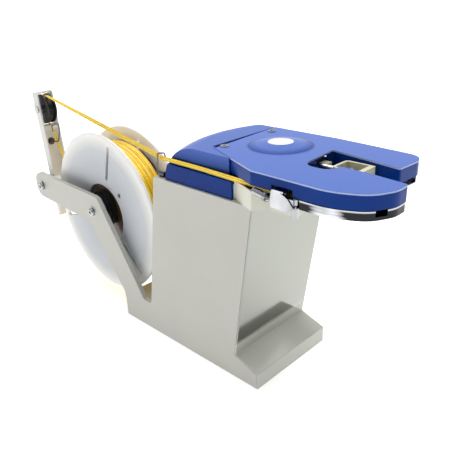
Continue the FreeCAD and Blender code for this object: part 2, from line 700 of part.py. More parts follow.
rear_cover = cut(shell, low_hollow.common(hollow), upper_hollow.common(hollow), seam_opening)
keep("rear_cover", rear_cover)

cover_screw_places = [(flare_x - 70.0, -25.0), (flare_x - 70.0, 48.0)]
cover_screws = []
for x, y in cover_screw_places:
    head_disc = rod((x, y, cover_top), (0, 0, 1), 4.6, 0.8)
    cover_screws.append(head_disc.cut(rod((x, y, cover_top + 0.3), (0, 0, 1), 1.6, 1)))
keep("cover_screws", *cover_screws)

# polished jaw plate: a pan under the jaws, its rim standing up to just below the cover
mouth_x = flare_x + 76.0
jaw_back = flare_x + 1.5
jaw_root = tray_nose_half_width - 3.0
jaw_outline = ([(jaw_back, -jaw_root, 2.0), (flare_x + 53.0, -jaw_root, 2.0),
                (flare_x + 53.0, -flare_y - 1.45, 1.0)]
               + [(x - 0.9, y + 0.6 * (1 if y < 0 else -1), r) for x, y, r in near_jaw[:3]]
               + [(flare_x + 121.0, -14.8, 3.0), (mouth_x, -10.4, 10.0), (mouth_x, 19.0, 10.0)]
               + [(flare_x + 97.0, 16.6, 2.0), (flare_x + 99.2, 58.7, 16.4),
                  (flare_x + 45.0, head_half_width - 3.4, 3.0), (flare_x + 40.5, jaw_root, 2.0),
                  (jaw_back, jaw_root, 2.0)])
jaw_bottom = tray_top - jaw_thickness
jaw_plate = plate_xy(jaw_outline, (jaw_bottom, jaw_bottom + jaw_rim_height))
pan = inset_plate_xy(jaw_outline, jaw_rim, (tray_top, tray_top + 20))
open_throat = box((flare_x - 2, flare_x + 118.0), (-jaw_root, jaw_root - 2.0), (tray_top, tray_top + 20))
jaw_plate = cut(jaw_plate, pan, open_throat)

# ---------------------------------------------------------------- drives in the head
drive_x = flare_x - 25.0
drive_y = -22.0
needle_x = flare_x + 28.0
needle_y = -35.0
pinion_pitch = gear_module * pinion_teeth / 2
drive_pitch = gear_module * drive_gear_teeth / 2
idler_pitch = gear_module * idler_teeth / 2
needle_pitch = gear_module * needle_pinion_teeth / 2
motor_x = drive_x - pinion_pitch - drive_pitch
gear_z = tray_floor + 2.0
motor_top = top_z - 1.5
motor_body = fuse(rod((motor_x, drive_y, motor_top - motor_length), (0, 0, 1), motor_radius, motor_length),
                  rod((motor_x, drive_y, motor_top - motor_length - 6), (0, 0, 1), 8.0, 6.0))
tray = tray.cut(rod((motor_x, drive_y, top_z - 1), (0, 0, 1), motor_shaft_radius + 1.0, 5))
flange_half = motor_radius + 0.5
flange_plate = box((motor_x - flange_half, motor_x + flange_half),
                   (drive_y - flange_half, drive_y + flange_half), (motor_top, top_z))
shaft_passage = rod((motor_x, drive_y, motor_top - 1), (0, 0, 1), motor_shaft_radius + 1.0, 5)
flange_plate = flange_plate.cut(shaft_passage)
keep("drive_motor", motor_body, flange_plate)
motor_pinion = gear((motor_x, drive_y, gear_z), pinion_teeth, gear_module, gear_width, motor_shaft_radius,
                    180.0 / pinion_teeth)
motor_shaft = rod((motor_x, drive_y, motor_top + 0.3), (0, 0, 1), motor_shaft_radius,
                  gear_z + gear_width + 1 - motor_top)
keep("motor_pinion", fuse(motor_pinion, motor_shaft))


def crossing(centre_a, radius_a, centre_b, radius_b):
    """The point at both distances from two centres, on the left of the line between them."""
    reach = math.hypot(centre_b[0] - centre_a[0], centre_b[1] - centre_a[1])
    ahead = (radius_a ** 2 - radius_b ** 2 + reach ** 2) / (2 * reach)
    aside = math.sqrt(max(radius_a ** 2 - ahead ** 2, 0))
    way_x = (centre_b[0] - centre_a[0]) / reach
    way_y = (centre_b[1] - centre_a[1]) / reach
    return centre_a[0] + ahead * way_x - aside * way_y, centre_a[1] + ahead * way_y + aside * way_x


def meshed_turn(centre_a, teeth_a, turn_a, centre_b, teeth_b):
    """The turn of gear b that puts a gap where gear a has a tooth."""
    line = math.degrees(math.atan2(centre_b[1] - centre_a[1], centre_b[0] - centre_a[0]))
    share = (turn_a - line) * teeth_a / 360.0
    return line + 180.0 + (0.5 - share) * 360.0 / teeth_b


drive_centre = (drive_x, drive_y)
needle_centre = (needle_x, needle_y)
idler_centre = crossing(drive_centre, drive_pitch + idler_pitch, needle_centre, needle_pitch + idler_pitch)
idler_turn = meshed_turn(drive_centre, drive_gear_teeth, 0.0, idler_centre, idler_teeth)
needle_turn = meshed_turn(idler_centre, idler_teeth, idler_turn, needle_centre, needle_pinion_teeth)
gear_top = gear_z + gear_width
drive_shaft_start = top_z - 6.0
drive_shaft_length = gear_top + 1.0 - drive_shaft_start
keep("drive_gear", gear((*drive_centre, gear_z), drive_gear_teeth, gear_module, gear_width,
                        gear_shaft_radius))
keep("drive_gear_shaft", fuse(
    rod((*drive_centre, drive_shaft_start), (0, 0, 1), gear_shaft_radius, drive_shaft_length),
    rod((*drive_centre, drive_shaft_start), (0, 0, 1), 5.8, 5.6),
    rod((*drive_centre, gear_top), (0, 0, 1), 7.0, 1.0)))
keep("idler_gear", gear((*idler_centre, gear_z), idler_teeth, gear_module, gear_width,
                        idler_post_radius + running_fit, idler_turn))
idler_post = fuse(
    rod((*idler_centre, tray_floor), (0, 0, 1), idler_post_radius, gear_top + 0.4 - tray_floor),
    rod((*idler_centre, tray_floor), (0, 0, 1), 5.5, gear_z - 0.2 - tray_floor),
    rod((*idler_centre, gear_top + 0.2), (0, 0, 1), 5.5, 1.0))
keep("needle_pinion", fuse(
    gear((*needle_centre, gear_z), needle_pinion_teeth, gear_module, gear_width, 1.0, needle_turn),
    rod((*needle_centre, top_z + 0.2), (0, 0, 1), gear_shaft_radius, tray_top + 1.0 - top_z - 0.2)))
for centre in (drive_centre, needle_centre):
    tray = tray.cut(rod((*centre, top_z - 1), (0, 0, 1), gear_shaft_radius + running_fit, 5))
jaw_plate = jaw_plate.cut(rod((*needle_centre, jaw_bottom - 1), (0, 0, 1),
                              gear_shaft_radius + running_fit, 20))
keep("jaw_plate", jaw_plate)
keep("head_tray", tray)

needle_z = (tray_top + 1.0, tray_top + 4.0)
tip = (needle_x + 87.0, -22.0)
needle_outline = [
    (needle_x - 6.5, needle_y - 5.0, 5.0), (needle_x + 40.0, needle_y - 9.0, 40.0),
    (needle_x + 74.0, needle_y - 4.0, 25.0), (tip[0], tip[1], 1.0), (tip[0] - 2.0, tip[1] + 4.0, 1.0),
    (needle_x + 68.0, needle_y + 5.0, 20.0), (needle_x + 36.0, needle_y + 0.5, 30.0),
    (needle_x + 4.0, needle_y + 7.0, 4.0), (needle_x - 6.5, needle_y + 5.0, 5.0)]
needle = plate_xy(needle_outline, needle_z)
keep("needle_arm", fuse(needle, rod((needle_x, needle_y, needle_z[1]), (0, 0, 1), 5.0, 2.0)))

# twister: a hook on a long shaft in the middle of the throat, driven by its own small motor
twist_y = 5.0
twist_z = roof - 7.0
twist_pitch = twist_gear_module * twist_gear_teeth / 2
twist_motor_y = twist_y + 1.6 * twist_pitch
twist_motor_z = twist_z - 1.2 * twist_pitch
twist_gear_x = flare_x - 66.0
hook_x = flare_x + 50.0
twist_motor_front = twist_gear_x - 4.0
twist_motor = rod((twist_motor_front - twist_motor_length, twist_motor_y, twist_motor_z), (1, 0, 0),
                  twist_motor_radius, twist_motor_length)
cradle_y = (twist_motor_y - 11, twist_motor_y + 11)
cradle = box((twist_motor_front - 36, twist_motor_front - 10), cradle_y, (tray_floor, twist_motor_z - 2))
cradle = cradle.cut(rod((twist_motor_front - 60, twist_motor_y, twist_motor_z), (1, 0, 0),
                        twist_motor_radius + 0.15, 80))
keep("twist_motor", twist_motor, cradle)
line_angle = math.degrees(math.atan2(twist_z - twist_motor_z, twist_y - twist_motor_y))


def twist_gear(y, z, turn):
    solid = gear((0, 0, 0), twist_gear_teeth, twist_gear_module, 5.0, 1.5, 0)
    solid.rotate(vec(0, 0, 0), vec(0, 0, 1), turn)
    axis_forward = FreeCAD.Rotation(vec(0, 1, 0), vec(0, 0, 1), vec(1, 0, 0), "ZXY")
    turned = FreeCAD.Placement(vec(twist_gear_x, y, z), axis_forward)
    solid.Placement = turned.multiply(solid.Placement)
    return solid


keep("twist_motor_gear", fuse(
    twist_gear(twist_motor_y, twist_motor_z, line_angle + 180.0 / twist_gear_teeth),
    rod((twist_motor_front + 0.3, twist_motor_y, twist_motor_z), (1, 0, 0), 1.5, 9.5)))
shaft_start = twist_gear_x - 3.0
twister = fuse(
    twist_gear(twist_y, twist_z, line_angle),
    rod((shaft_start, twist_y, twist_z), (1, 0, 0), twist_shaft_radius, hook_x - shaft_start))
keep("twister_shaft", twister)
hook_ring = pipe((hook_x + 6.0, twist_y - 1.2, twist_z), (0, 1, 0), 4.6, 2.6, 2.4)
hook_gap = box((hook_x + 6.0, hook_x + 12), (twist_y - 3, twist_y + 3), (twist_z - 2.2, twist_z + 2.0))
hook = fuse(hook_ring.cut(hook_gap), rod((hook_x, twist_y, twist_z), (1, 0, 0), 2.4, 2.4))
keep("twister_hook", hook)


def bearing_block(x):
    block = box((x - 4, x + 4), (twist_y - 6, twist_y + 6), (tray_floor, twist_z + 5))
    return block.cut(rod((x - 5, twist_y, twist_z), (1, 0, 0), twist_shaft_radius + running_fit, 10))


keep("twister_bearings", bearing_block(flare_x - 52.0), bearing_block(flare_x - 8.0))

# trigger loop round the hook, on a slide behind it
trigger_front = flare_x + 74.0
trigger_back = trigger_front - trigger_length
trigger_y = (twist_y - trigger_width / 2, twist_y + trigger_width / 2)
trigger_z = (skirt_bottom + 1.0, skirt_bottom + 1.0 + trigger_height)
loop_corners = [(trigger_back, trigger_y[0], 4.0), (trigger_front, trigger_y[0], 1.5),
                (trigger_front, trigger_y[1], 1.5), (trigger_back, trigger_y[1], 4.0)]
loop = plate_xy(loop_corners, trigger_z)
loop_hole = [(trigger_back + trigger_wall, trigger_y[0] + trigger_wall, 2.5),
             (trigger_front - 2 * trigger_wall, trigger_y[0] + trigger_wall, 1.0),
             (trigger_front - 2 * trigger_wall, trigger_y[1] - trigger_wall, 1.0),
             (trigger_back + trigger_wall, trigger_y[1] - trigger_wall, 2.5)]
loop = loop.cut(plate_xy(loop_hole, (trigger_z[0] - 1, trigger_z[1] + 1)))
stem_start = flare_x + 18.0
guide_length = 9.0
stem_y = twist_y + 9.0
stem = box((stem_start, trigger_back + 1.0), (stem_y - 2.5, stem_y + 2.5),
           (trigger_z[0] - 2.0, trigger_z[0] + 2.0))
shaft_way = rod((trigger_back - 1, twist_y, twist_z), (1, 0, 0), twist_shaft_radius + 1.5, 6)
keep("trigger_loop", fuse(loop, stem).cut(shaft_way))
guide = box((stem_start + 1.0, stem_start + guide_length), (stem_y - 5.5, stem_y + 5.5),
            (tray_top, trigger_z[0] + 4.5))
guide = guide.cut(box((stem_start, stem_start + 20), (stem_y - 2.55, stem_y + 2.55),
                      (trigger_z[0] - 2.05, trigger_z[0] + 2.05)))
keep("trigger_guide", guide)
keep("trigger_switch", box((stem_start - 16.0, stem_start - 6.5), (stem_y - 6, stem_y + 6),
                           (tray_top, tray_top + 8)))

# ribbon brake: a fixed roller and a sprung pressure roller on a lever outside the skirt
roller_line = flare_x + 36.0
ribbon_lane = -flare_y + 6.35
fixed_roller_radius = 6.0
pressure_radius = 4.5
fixed_roller_y = ribbon_lane + ribbon_thickness / 2 + 0.3 + fixed_roller_radius
pressure_y = ribbon_lane - ribbon_thickness / 2 - 0.3 - pressure_radius
post_radius = 2.0
roller_z = (tray_top + 0.3, tray_top + 8.5)
hinge_x = roller_line + 13.0
hinge_y = -flare_y - 0.45
bracket = box((roller_line - 9, roller_line + 16.5), (hinge_y - 3.3, -tray_nose_half_width + 2.5),
              (nose_top, tray_top - 0.3))
bracket = bracket.cut(rod((hinge_x, hinge_y, nose_top - 1), (0, 0, 1), post_radius, 6))
roller_post = rod((roller_line, fixed_roller_y, tray_top - 0.3), (0, 0, 1), post_radius,
                  roller_z[1] - tray_top + 1.3)
keep("roller_bracket", fuse(bracket, roller_post))
keep("ribbon_roller", pipe((roller_line, fixed_roller_y, roller_z[0]), (0, 0, 1), fixed_roller_radius,
                           post_radius + running_fit, roller_z[1] - roller_z[0]))
lever_bottom = tray_top - 11.0
lever_top = tray_top + 10.0
lever_wall = 1.5
lever_face = hinge_y - 4.0
knuckle = pipe((hinge_x, hinge_y, tray_top + 0.1), (0, 0, 1), 3.6, post_radius + running_fit, 5.0)
lever_sheet = plate_xz([(roller_line - 10.0, tray_top + 1.0, 1.0), (roller_line - 9.0, tray_top - 6.0, 1.0),
                        (hinge_x - 5.0, tray_top - 7.0, 2.0), (hinge_x + 2.2, tray_top - 2.0, 1.5),
                        (hinge_x - 4.0, tray_top + 5.1, 1.5),
                        (roller_line - 1.0, tray_top + lever_wall + 8.6, 1.0),
                        (roller_line - 8.0, tray_top + lever_wall + 8.6, 1.0)],
                       (lever_face - lever_wall, lever_face))
tab = box((roller_line - 7.0, roller_line + 4.5), (lever_face - lever_wall, pressure_y + 3.2),
          (tray_top + 8.8, tray_top + 8.8 + lever_wall))
knuckle_web = box((hinge_x - 3.4, hinge_x + 1.6), (lever_face - 0.5, hinge_y - 2.2),
                  (tray_top + 0.1, tray_top + 5.1))
lever = fuse(lever_sheet, tab, knuckle, knuckle_web)
lever = lever.cut(rod((hinge_x, hinge_y, tray_top - 2), (0, 0, 1), post_radius + running_fit, 12))
lever = lever.cut(rod((roller_line, pressure_y, tray_top), (0, 0, 1), 1.5, 30))
keep("pressure_lever", fuse(lever, rod((roller_line, pressure_y, tray_top + 0.6), (0, 0, 1), 1.5, 9.7)))
keep("pressure_roller", pipe((roller_line, pressure_y, roller_z[0] + 0.3), (0, 0, 1), pressure_radius,
                             1.5 + running_fit, roller_z[1] - roller_z[0] - 0.6))
hinge_post = fuse(
    rod((hinge_x, hinge_y, tray_top - 12.0), (0, 0, 1), post_radius, 17.6),
    rod((hinge_x, hinge_y, tray_top - 12.0), (0, 0, 1), 3.4, nose_top - 0.1 - tray_top + 12.0))
keep("pivot_posts", idler_post, hinge_post)
barrel_z = tray_top + 1.2
barrel_y = -flare_y + 0.2
barrel_start = (flare_x + 4.3, barrel_y, barrel_z)
barrel_way = vec(17.0, -4.2, 0).normalize()
way = (barrel_way.x, barrel_way.y, barrel_way.z)


def along(distance):
    return tuple(s + w * distance for s, w in zip(barrel_start, way))


barrel_outline = [(0, -4.0), (1.6, -3.6), (3.0, -2.4), (3.6, -0.6), (3.6, 15.0), (1.5, 15.0),
                  (1.5, 22.2), (0, 22.2)]
barrel_face = Part.Face(Part.makePolygon([vec(r, 0, h) for r, h in barrel_outline + barrel_outline[:1]]))
barrel = barrel_face.revolve(vec(0, 0, 0), vec(0, 0, 1), 360)
barrel.Placement = FreeCAD.Placement(vec(*barrel_start), FreeCAD.Rotation(vec(0, 0, 1), barrel_way))
keep("spring_barrel", barrel)
keep("adjuster_nut", pipe(along(15.3), way, 4.2, 1.5 + running_fit, 3.6))

# ---------------------------------------------------------------- ribbon guide on the housing
guide_x = column_rear(top_z) + 7.0
guide_y = -inner_y + 1.5
base_z = top_z + 3.2
lane_y = -(skirt_y + upper_y) / 2
lane_z = tray_top + 0.2 + ribbon_width / 2
inlet_eye = wire_path(
    [(guide_x - 4.0, guide_y, base_z), (guide_x - 8.5, guide_y, base_z),
     (guide_x - 7.0, guide_y - 1.0, base_z + 12.0), (guide_x - 1.0, lane_y - 2.5, base_z + 9.0),
     (guide_x + 1.0, lane_y - 3.0, lane_z + 5.0), (guide_x + 5.5, lane_y + 2.9, lane_z + 5.0),
     (guide_x + 6.0, lane_y + 2.9, lane_z - 0.5)], 1.6, wire_radius)
keep("inlet_wire_guide", rod((guide_x - 4.0, guide_y, base_z), (1, 0, 0), 3.2, 9.0), inlet_eye)

# ---------------------------------------------------------------- ribbon runs


def strip(start, end, width_way):
    """A flat straight stretch of ribbon, its width lying along width_way."""
    p, q = vec(*start), vec(*end)
    run = (q - p).normalize()
    wide = vec(*width_way).normalize() * (ribbon_width / 2)
    thick = run.cross(vec(*width_way).normalize()).normalize() * (ribbon_thickness / 2)
    ring = [p + wide + thick, p - wide + thick, p - wide - thick, p + wide - thick, p + wide + thick]
    return Part.Face(Part.makePolygon(ring)).extrude(q - p)


wrap_radius = pulley_radius - pulley_groove + 0.3
guide_mouth = (guide_x + 5.0, lane_y, lane_z)
top_start_x = pulley_x + wrap_radius * 0.35
top_start_z = pulley_z + wrap_radius + ribbon_thickness / 2
keep("ribbon_top_run", strip((top_start_x, arm_mid_y, top_start_z), guide_mouth, (0.25, 1, 0.55)))
groove_end = (skirt_front, lane_y, lane_z)
lane_entry = (flare_x + 1.0, ribbon_lane + 1.4, lane_z)
pinch_start = (roller_line - 9.0, ribbon_lane, lane_z)
keep("ribbon_feed_run",
     strip((guide_mouth[0] + 0.5, lane_y, lane_z), groove_end, (0, 0, 1)),
     strip((groove_end[0] + 0.5, groove_end[1] - 0.2, groove_end[2]), lane_entry, (0, 0, 1)),
     strip((lane_entry[0] + 0.5, lane_entry[1], lane_z), pinch_start, (0, 0, 1)),
     strip((pinch_start[0] + 0.5, ribbon_lane, lane_z), (roller_line + 12.0, ribbon_lane, lane_z),
           (0, 0, 1)))
wrap = pipe((pulley_x, arm_mid_y - ribbon_width / 2, pulley_z), (0, 1, 0),
            wrap_radius + ribbon_thickness, wrap_radius, ribbon_width)
wrap = wrap.cut(box((pulley_x + 2.0, pulley_x + 40), (arm_mid_y - 10, arm_mid_y + 10),
                    (pulley_z - 40, pulley_z + 40)))
keep("ribbon_pulley_wrap", wrap)
leave_radius = wound_radius + 1.2
eye_distance = math.hypot(eye_x - spool_x, eye_z - spool_z)
leave_angle = math.atan2(eye_z - spool_z, eye_x - spool_x) + math.acos(leave_radius / eye_distance)
exit_x = spool_x + leave_radius * math.cos(leave_angle)
exit_z = spool_z + leave_radius * math.sin(leave_angle)
keep("ribbon_spool_run",
     strip((exit_x, arm_mid_y + 8.0, exit_z), (eye_x + 1.0, arm_mid_y, eye_z + 1.0), (0, 1, 0)),
     strip((eye_x, arm_mid_y, eye_z + 1.5),
           (pulley_x + 3.0, arm_mid_y, pulley_z - wrap_radius - 0.4), (0, 1, 0)))

os.makedirs("parts", exist_ok=True)
for name, shape in nodes.items():
    shape.exportStep(os.path.join("parts", name + ".step"))
print(len(nodes), "nodes written")
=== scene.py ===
# %% [markdown]
# # A bench-top ribbon strapping machine
# This lesson dresses a machine that already exists as exact engineering parts. The parts are loaded
# as a fixed frame. A new piece takes its place from the frame's own boxes, with a small offset where
# it lies on a part.

# %% Load the engineering frame
import json
import math

import bpy
from mathutils import Matrix, Vector


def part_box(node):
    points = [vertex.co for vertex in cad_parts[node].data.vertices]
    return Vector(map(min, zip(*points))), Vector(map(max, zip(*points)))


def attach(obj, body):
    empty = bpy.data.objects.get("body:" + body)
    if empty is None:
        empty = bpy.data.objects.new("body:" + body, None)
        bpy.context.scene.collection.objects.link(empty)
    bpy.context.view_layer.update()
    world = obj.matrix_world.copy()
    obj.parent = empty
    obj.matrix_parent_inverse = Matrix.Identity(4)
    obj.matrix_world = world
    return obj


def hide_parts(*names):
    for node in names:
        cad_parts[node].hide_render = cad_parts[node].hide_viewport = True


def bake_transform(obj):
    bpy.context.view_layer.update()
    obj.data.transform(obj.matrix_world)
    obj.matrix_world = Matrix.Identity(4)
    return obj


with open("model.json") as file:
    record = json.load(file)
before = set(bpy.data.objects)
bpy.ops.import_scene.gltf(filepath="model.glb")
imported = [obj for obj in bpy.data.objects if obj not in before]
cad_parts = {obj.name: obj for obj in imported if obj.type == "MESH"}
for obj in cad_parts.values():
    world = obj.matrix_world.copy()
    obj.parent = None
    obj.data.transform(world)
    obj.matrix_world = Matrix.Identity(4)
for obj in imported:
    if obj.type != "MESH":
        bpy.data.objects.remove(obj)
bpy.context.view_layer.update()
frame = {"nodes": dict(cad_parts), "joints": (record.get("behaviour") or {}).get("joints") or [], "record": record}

MM = 0.001
print("frame loaded with", len(frame["nodes"]), "nodes")

# %% [markdown]
# Shader maths reads best as plain expressions. A small class wraps a node's output socket, so that
# `1 - mask` adds the Math node by itself. Every other node comes from one method, which takes the
# node's type, its settings and the values or links of its sockets.

# %% A finish is a node tree that is written as expressions
class Out:
    """One output socket; the operators make Math nodes."""

    def __init__(self, finish, socket):
        self.finish = finish
        self.socket = socket

    def maths(self, operation, *values):
        return self.finish.node("ShaderNodeMath", {"operation": operation}, dict(enumerate(values)))

    def __add__(self, other):
        return self.maths("ADD", self, other)

    def __sub__(self, other):
        return self.maths("SUBTRACT", self, other)

    def __rsub__(self, other):
        return self.maths("SUBTRACT", other, self)

    def __mul__(self, other):
        return self.maths("MULTIPLY", self, other)

    __radd__ = __add__
    __rmul__ = __mul__


class Finish:
    """A material whose nodes are added one by one."""

    def __init__(self, name, **constants):
        self.material = bpy.data.materials.new(name)
        self.material.use_nodes = True
        self.tree = self.material.node_tree
        self.shader = self.tree.nodes["Principled BSDF"]
        for key, value in constants.items():
            self.shader.inputs[key.replace("_", " ")].default_value = value
        self.place = self.node("ShaderNodeTexCoord", output="Object")

    def node(self, kind, settings=None, inputs=None, output=0):
        made = self.tree.nodes.new(kind)
        for key, value in (settings or {}).items():
            if key == "stops":
                ramp = made.color_ramp
                for position, colour in value[2:]:
                    ramp.elements.new(position)
                for element, (position, colour) in zip(ramp.elements, sorted(value)):
                    element.position = position
                    element.color = colour
            else:
                setattr(made, key, value)
        for key, value in (inputs or {}).items():
            if isinstance(value, Out):
                self.tree.links.new(value.socket, made.inputs[key])
            else:
                made.inputs[key].default_value = value
        return Out(self, made.outputs[output])

    def height(self):
        return self.node("ShaderNodeSeparateXYZ", None, {"Vector": self.place}, output="Z")

    def noise(self, scale, detail=3.0, rough=0.55, stretch=(1, 1, 1)):
        spot = self.node("ShaderNodeMapping", None, {"Vector": self.place, "Scale": stretch})
        return self.node("ShaderNodeTexNoise", None,
                         {"Vector": spot, "Scale": scale, "Detail": detail, "Roughness": rough})

    def mix(self, share, colour_a, colour_b):
        made = self.tree.nodes.new("ShaderNodeMix")
        made.data_type = "RGBA"
        for index, value in ((0, share), (6, colour_a), (7, colour_b)):
            if isinstance(value, Out):
                self.tree.links.new(value.socket, made.inputs[index])
            else:
                made.inputs[index].default_value = value
        return Out(self, made.outputs[2])

    def spread(self, value, low, high, to_low, to_high):
        return self.node("ShaderNodeMapRange", None, {"Value": value, "From Min": low, "From Max": high,
                                                      "To Min": to_low, "To Max": to_high})

    def bump(self, height, distance):
        self.feed(Normal=self.node("ShaderNodeBump", None, {"Height": height, "Distance": distance}))

    def feed(self, **links):
        for key, value in links.items():
            self.tree.links.new(value.socket, self.shader.inputs[key.replace("_", " ")])


def rgb(red, green, blue):
    """A colour given as display values from 0 to 255, made linear."""
    return tuple((c / 255 / 12.92) if c / 255 <= 0.04045 else ((c / 255 + 0.055) / 1.055) ** 2.4
                 for c in (red, green, blue)) + (1.0,)


print("shader tools ready")

# %% [markdown]
# The housing is cut and folded steel sheet under a warm light grey powder coat. Powder coat has a
# fine orange-peel surface and a faint mottling, which two noises give: one in the colour and one in the
# bump. The folded front is a glossier enamel, so it is a dull mirror that shows the foot below it.

# %% Grey paints
FOOT_TOP = 44.0 * MM


def powder_coat(name, pale, dark, roughness, peel, painted_glow=0.0):
    """Mottled paint with an orange-peel bump; the last argument gives a painted glow, a faint light of its own
    that is no lamp.
    """
    paint = Finish(name, Coat_Weight=0.12, Coat_Roughness=0.3, Specular_IOR_Level=0.45,
                   Emission_Strength=painted_glow)
    cloud = paint.noise(9.0, 4.0)
    grain = paint.noise(900.0, 2.0)
    share = paint.spread(cloud * 0.75 + grain * 0.25, 0.35, 0.65, 0.0, 1.0)
    paint.feed(Base_Color=paint.mix(share, dark, pale))
    paint.feed(Roughness=paint.spread(cloud, 0.3, 0.7, roughness - 0.04, roughness + 0.06))
    paint.bump(paint.noise(1100.0, 2.0) + paint.noise(260.0, 2.0) * 0.8, peel)
    return paint.material


def mirror_enamel(name, foot_height, foot_tone, panel_tone):
    """Enamel that is polished like a dull mirror above the foot and plainer on the foot."""
    enamel = Finish(name, Coat_Weight=0.15, Coat_Roughness=0.2, Specular_IOR_Level=0.4)
    height = enamel.height()
    cloud = enamel.noise(11.0, 3.0)
    share = enamel.spread(height + cloud * (4.0 * MM), foot_height, foot_height + 6.0 * MM, 0.0, 1.0)
    enamel.feed(Base_Color=enamel.mix(share, foot_tone, panel_tone))
    enamel.feed(Metallic=enamel.spread(share, 0.0, 1.0, 0.08, 0.92))
    enamel.feed(Roughness=enamel.spread(cloud, 0.3, 0.7, 0.07, 0.15))
    enamel.bump(enamel.noise(700.0, 2.0), 0.000008)
    return enamel.material


plate_paint = powder_coat("grey_plate_paint", rgb(202, 202, 193), rgb(195, 195, 186), 0.42, 0.00005)
front_paint = mirror_enamel("grey_front_enamel", FOOT_TOP, rgb(200, 201, 190), rgb(156, 158, 150))
# The arm's paint glows faintly: painted light that lifts the shade inside the arm's channel.
arm_paint = powder_coat("grey_arm_paint", rgb(214, 214, 208), rgb(206, 206, 199), 0.38, 0.00004, painted_glow=0.1)
cream_paint = powder_coat("cream_tray_paint", rgb(222, 221, 205), rgb(214, 213, 196), 0.22, 0.00002)
print("paints:", plate_paint.name, front_paint.name, cream_paint.name)

# %% [markdown]
# The covers are moulded in glossy blue plastic. A moulding shows soft flow clouding in its colour and
# very fine polishing marks in its gloss. Light from above makes such a cover's top much paler than its
# sides, with a bright line along the edge and shade where the cover's dome rises. The plastic itself is
# one blue, so those tones are painted here by height: painted light on the top, a painted highlight on
# the edge and painted shade on the dome. A brighter lamp could do the same, but it would bleach the grey
# parts as well.

# %% Moulded plastics
COVER_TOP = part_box("rear_cover")[1].z
BLACK = rgb(0, 0, 0)


def painted_edge_and_dome_shade(plastic, tone, light, height, top, rim):
    """A painted highlight line on the top edge, if rim is a colour, and a ring of painted shade in the side blue
    where the dome rises.
    """
    pale = rgb(235, 235, 235)
    if rim:
        edge = plastic.node("ShaderNodeValToRGB", {"stops": [
            (0.0, BLACK), (1.0, BLACK), (0.1, pale), (0.9, pale)]},
            {"Fac": plastic.spread(height, top - 1.4 * MM, top, 0.0, 1.0)})
        tone = plastic.mix(edge, tone, rim)
    ring = plastic.node("ShaderNodeValToRGB", {"stops": [
        (0.0, BLACK), (1.0, BLACK), (0.2, pale), (0.75, rgb(60, 60, 60))]},
        {"Fac": plastic.spread(height, top + 0.3 * MM, top + 3.4 * MM, 0.0, 1.0)})
    return plastic.mix(ring, tone, light)


def moulded(name, light, deep, roughness, coat=0.35, shine=0.22, painted_top_light=None, rim=None):
    """The top-light tuple is (low height, high height, colour above): painted light that makes a cover's top paler
    than its sides.
    """
    plastic = Finish(name, Coat_Weight=coat, Coat_Roughness=0.12, Specular_IOR_Level=shine)
    cloud = plastic.noise(14.0, 3.0)
    tone = plastic.mix(plastic.spread(cloud, 0.35, 0.65, 0.0, 1.0), deep, light)
    if painted_top_light:
        low, high, above = painted_top_light
        height = plastic.height()
        tone = plastic.mix(plastic.spread(height + cloud * (0.4 * MM), low, high, 0.0, 1.0), tone, above)
        tone = painted_edge_and_dome_shade(plastic, tone, light, height, high, rim)
    plastic.feed(Base_Color=tone)
    streaks = plastic.noise(60.0, 3.0, stretch=(1.0, 7.0, 3.0))
    plastic.feed(Roughness=plastic.spread(streaks, 0.3, 0.7, roughness - 0.05, roughness + 0.07))
    plastic.bump(plastic.noise(420.0, 2.0), 0.000008)
    return plastic.material


# Both covers' pale tops are painted light; the front cover's rim colour is a painted highlight line.
cover_blue = moulded("blue_cover", rgb(8, 56, 136), rgb(4, 50, 127), 0.2, coat=0.03, shine=0.1,
                     painted_top_light=(COVER_TOP - 1.8 * MM, COVER_TOP - 0.1 * MM, rgb(86, 116, 196)),
                     rim=rgb(190, 203, 238))
rear_blue = moulded("blue_rear_cover", rgb(8, 54, 132), rgb(4, 48, 123), 0.2, coat=0.03, shine=0.1,
                    painted_top_light=(COVER_TOP - 19.0 * MM, COVER_TOP + 1.5 * MM, rgb(80, 110, 190)))
badge_white = moulded("badge_white", rgb(243, 243, 246), rgb(236, 236, 240), 0.22)
bearing_white = moulded("bearing_white", rgb(228, 227, 218), rgb(220, 218, 208), 0.45)
block_white = moulded("cream_blocks", rgb(236, 235, 229), rgb(228, 226, 219), 0.4)
trigger_cream = moulded("cream_trigger", rgb(222, 219, 186), rgb(210, 206, 172), 0.3)
hub_black = moulded("black_hub_plastic", rgb(24, 24, 26), rgb(17, 17, 19), 0.38, coat=0.1)
inlet_black = moulded("black_inlet_plastic", rgb(30, 30, 32), rgb(22, 22, 24), 0.5, coat=0.0)
rocker_black = moulded("rocker_plastic", rgb(22, 22, 24), rgb(16, 16, 17), 0.2)
core_tube = moulded("core_tube", rgb(128, 118, 106), rgb(104, 96, 86), 0.5, coat=0.0)
board_green = moulded("board_laminate", rgb(42, 116, 66), rgb(34, 100, 57), 0.35)
print("plastics ready")

# %% [markdown]
# Bright parts are polished, plated or turned. Each metal gets its own streaks: noise that is stretched
# along the sheet on a polished plate and across the axis on a turned part, and a faint cloudiness on
# zinc plate. The jaw's rim is polished so far that it would mirror the room. The studio here is plain,
# so dark and pale patches are painted on it instead.

# %% Metals
JAW_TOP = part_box("jaw_plate")[1].z


def metal(name, colour, dull, roughness, streak=(1.0, 1.0, 1.0), scale=180.0):
    steel = Finish(name, Metallic=1.0)
    lines = steel.noise(scale, 4.0, stretch=streak)
    stain = steel.noise(18.0, 3.0)
    steel.feed(Base_Color=steel.mix(steel.spread(stain, 0.4, 0.7, 0.0, 1.0), colour, dull))
    steel.feed(Roughness=steel.spread(lines, 0.3, 0.7, max(roughness - 0.06, 0.03), roughness + 0.08))
    steel.bump(lines, 0.00001)
    return steel.material


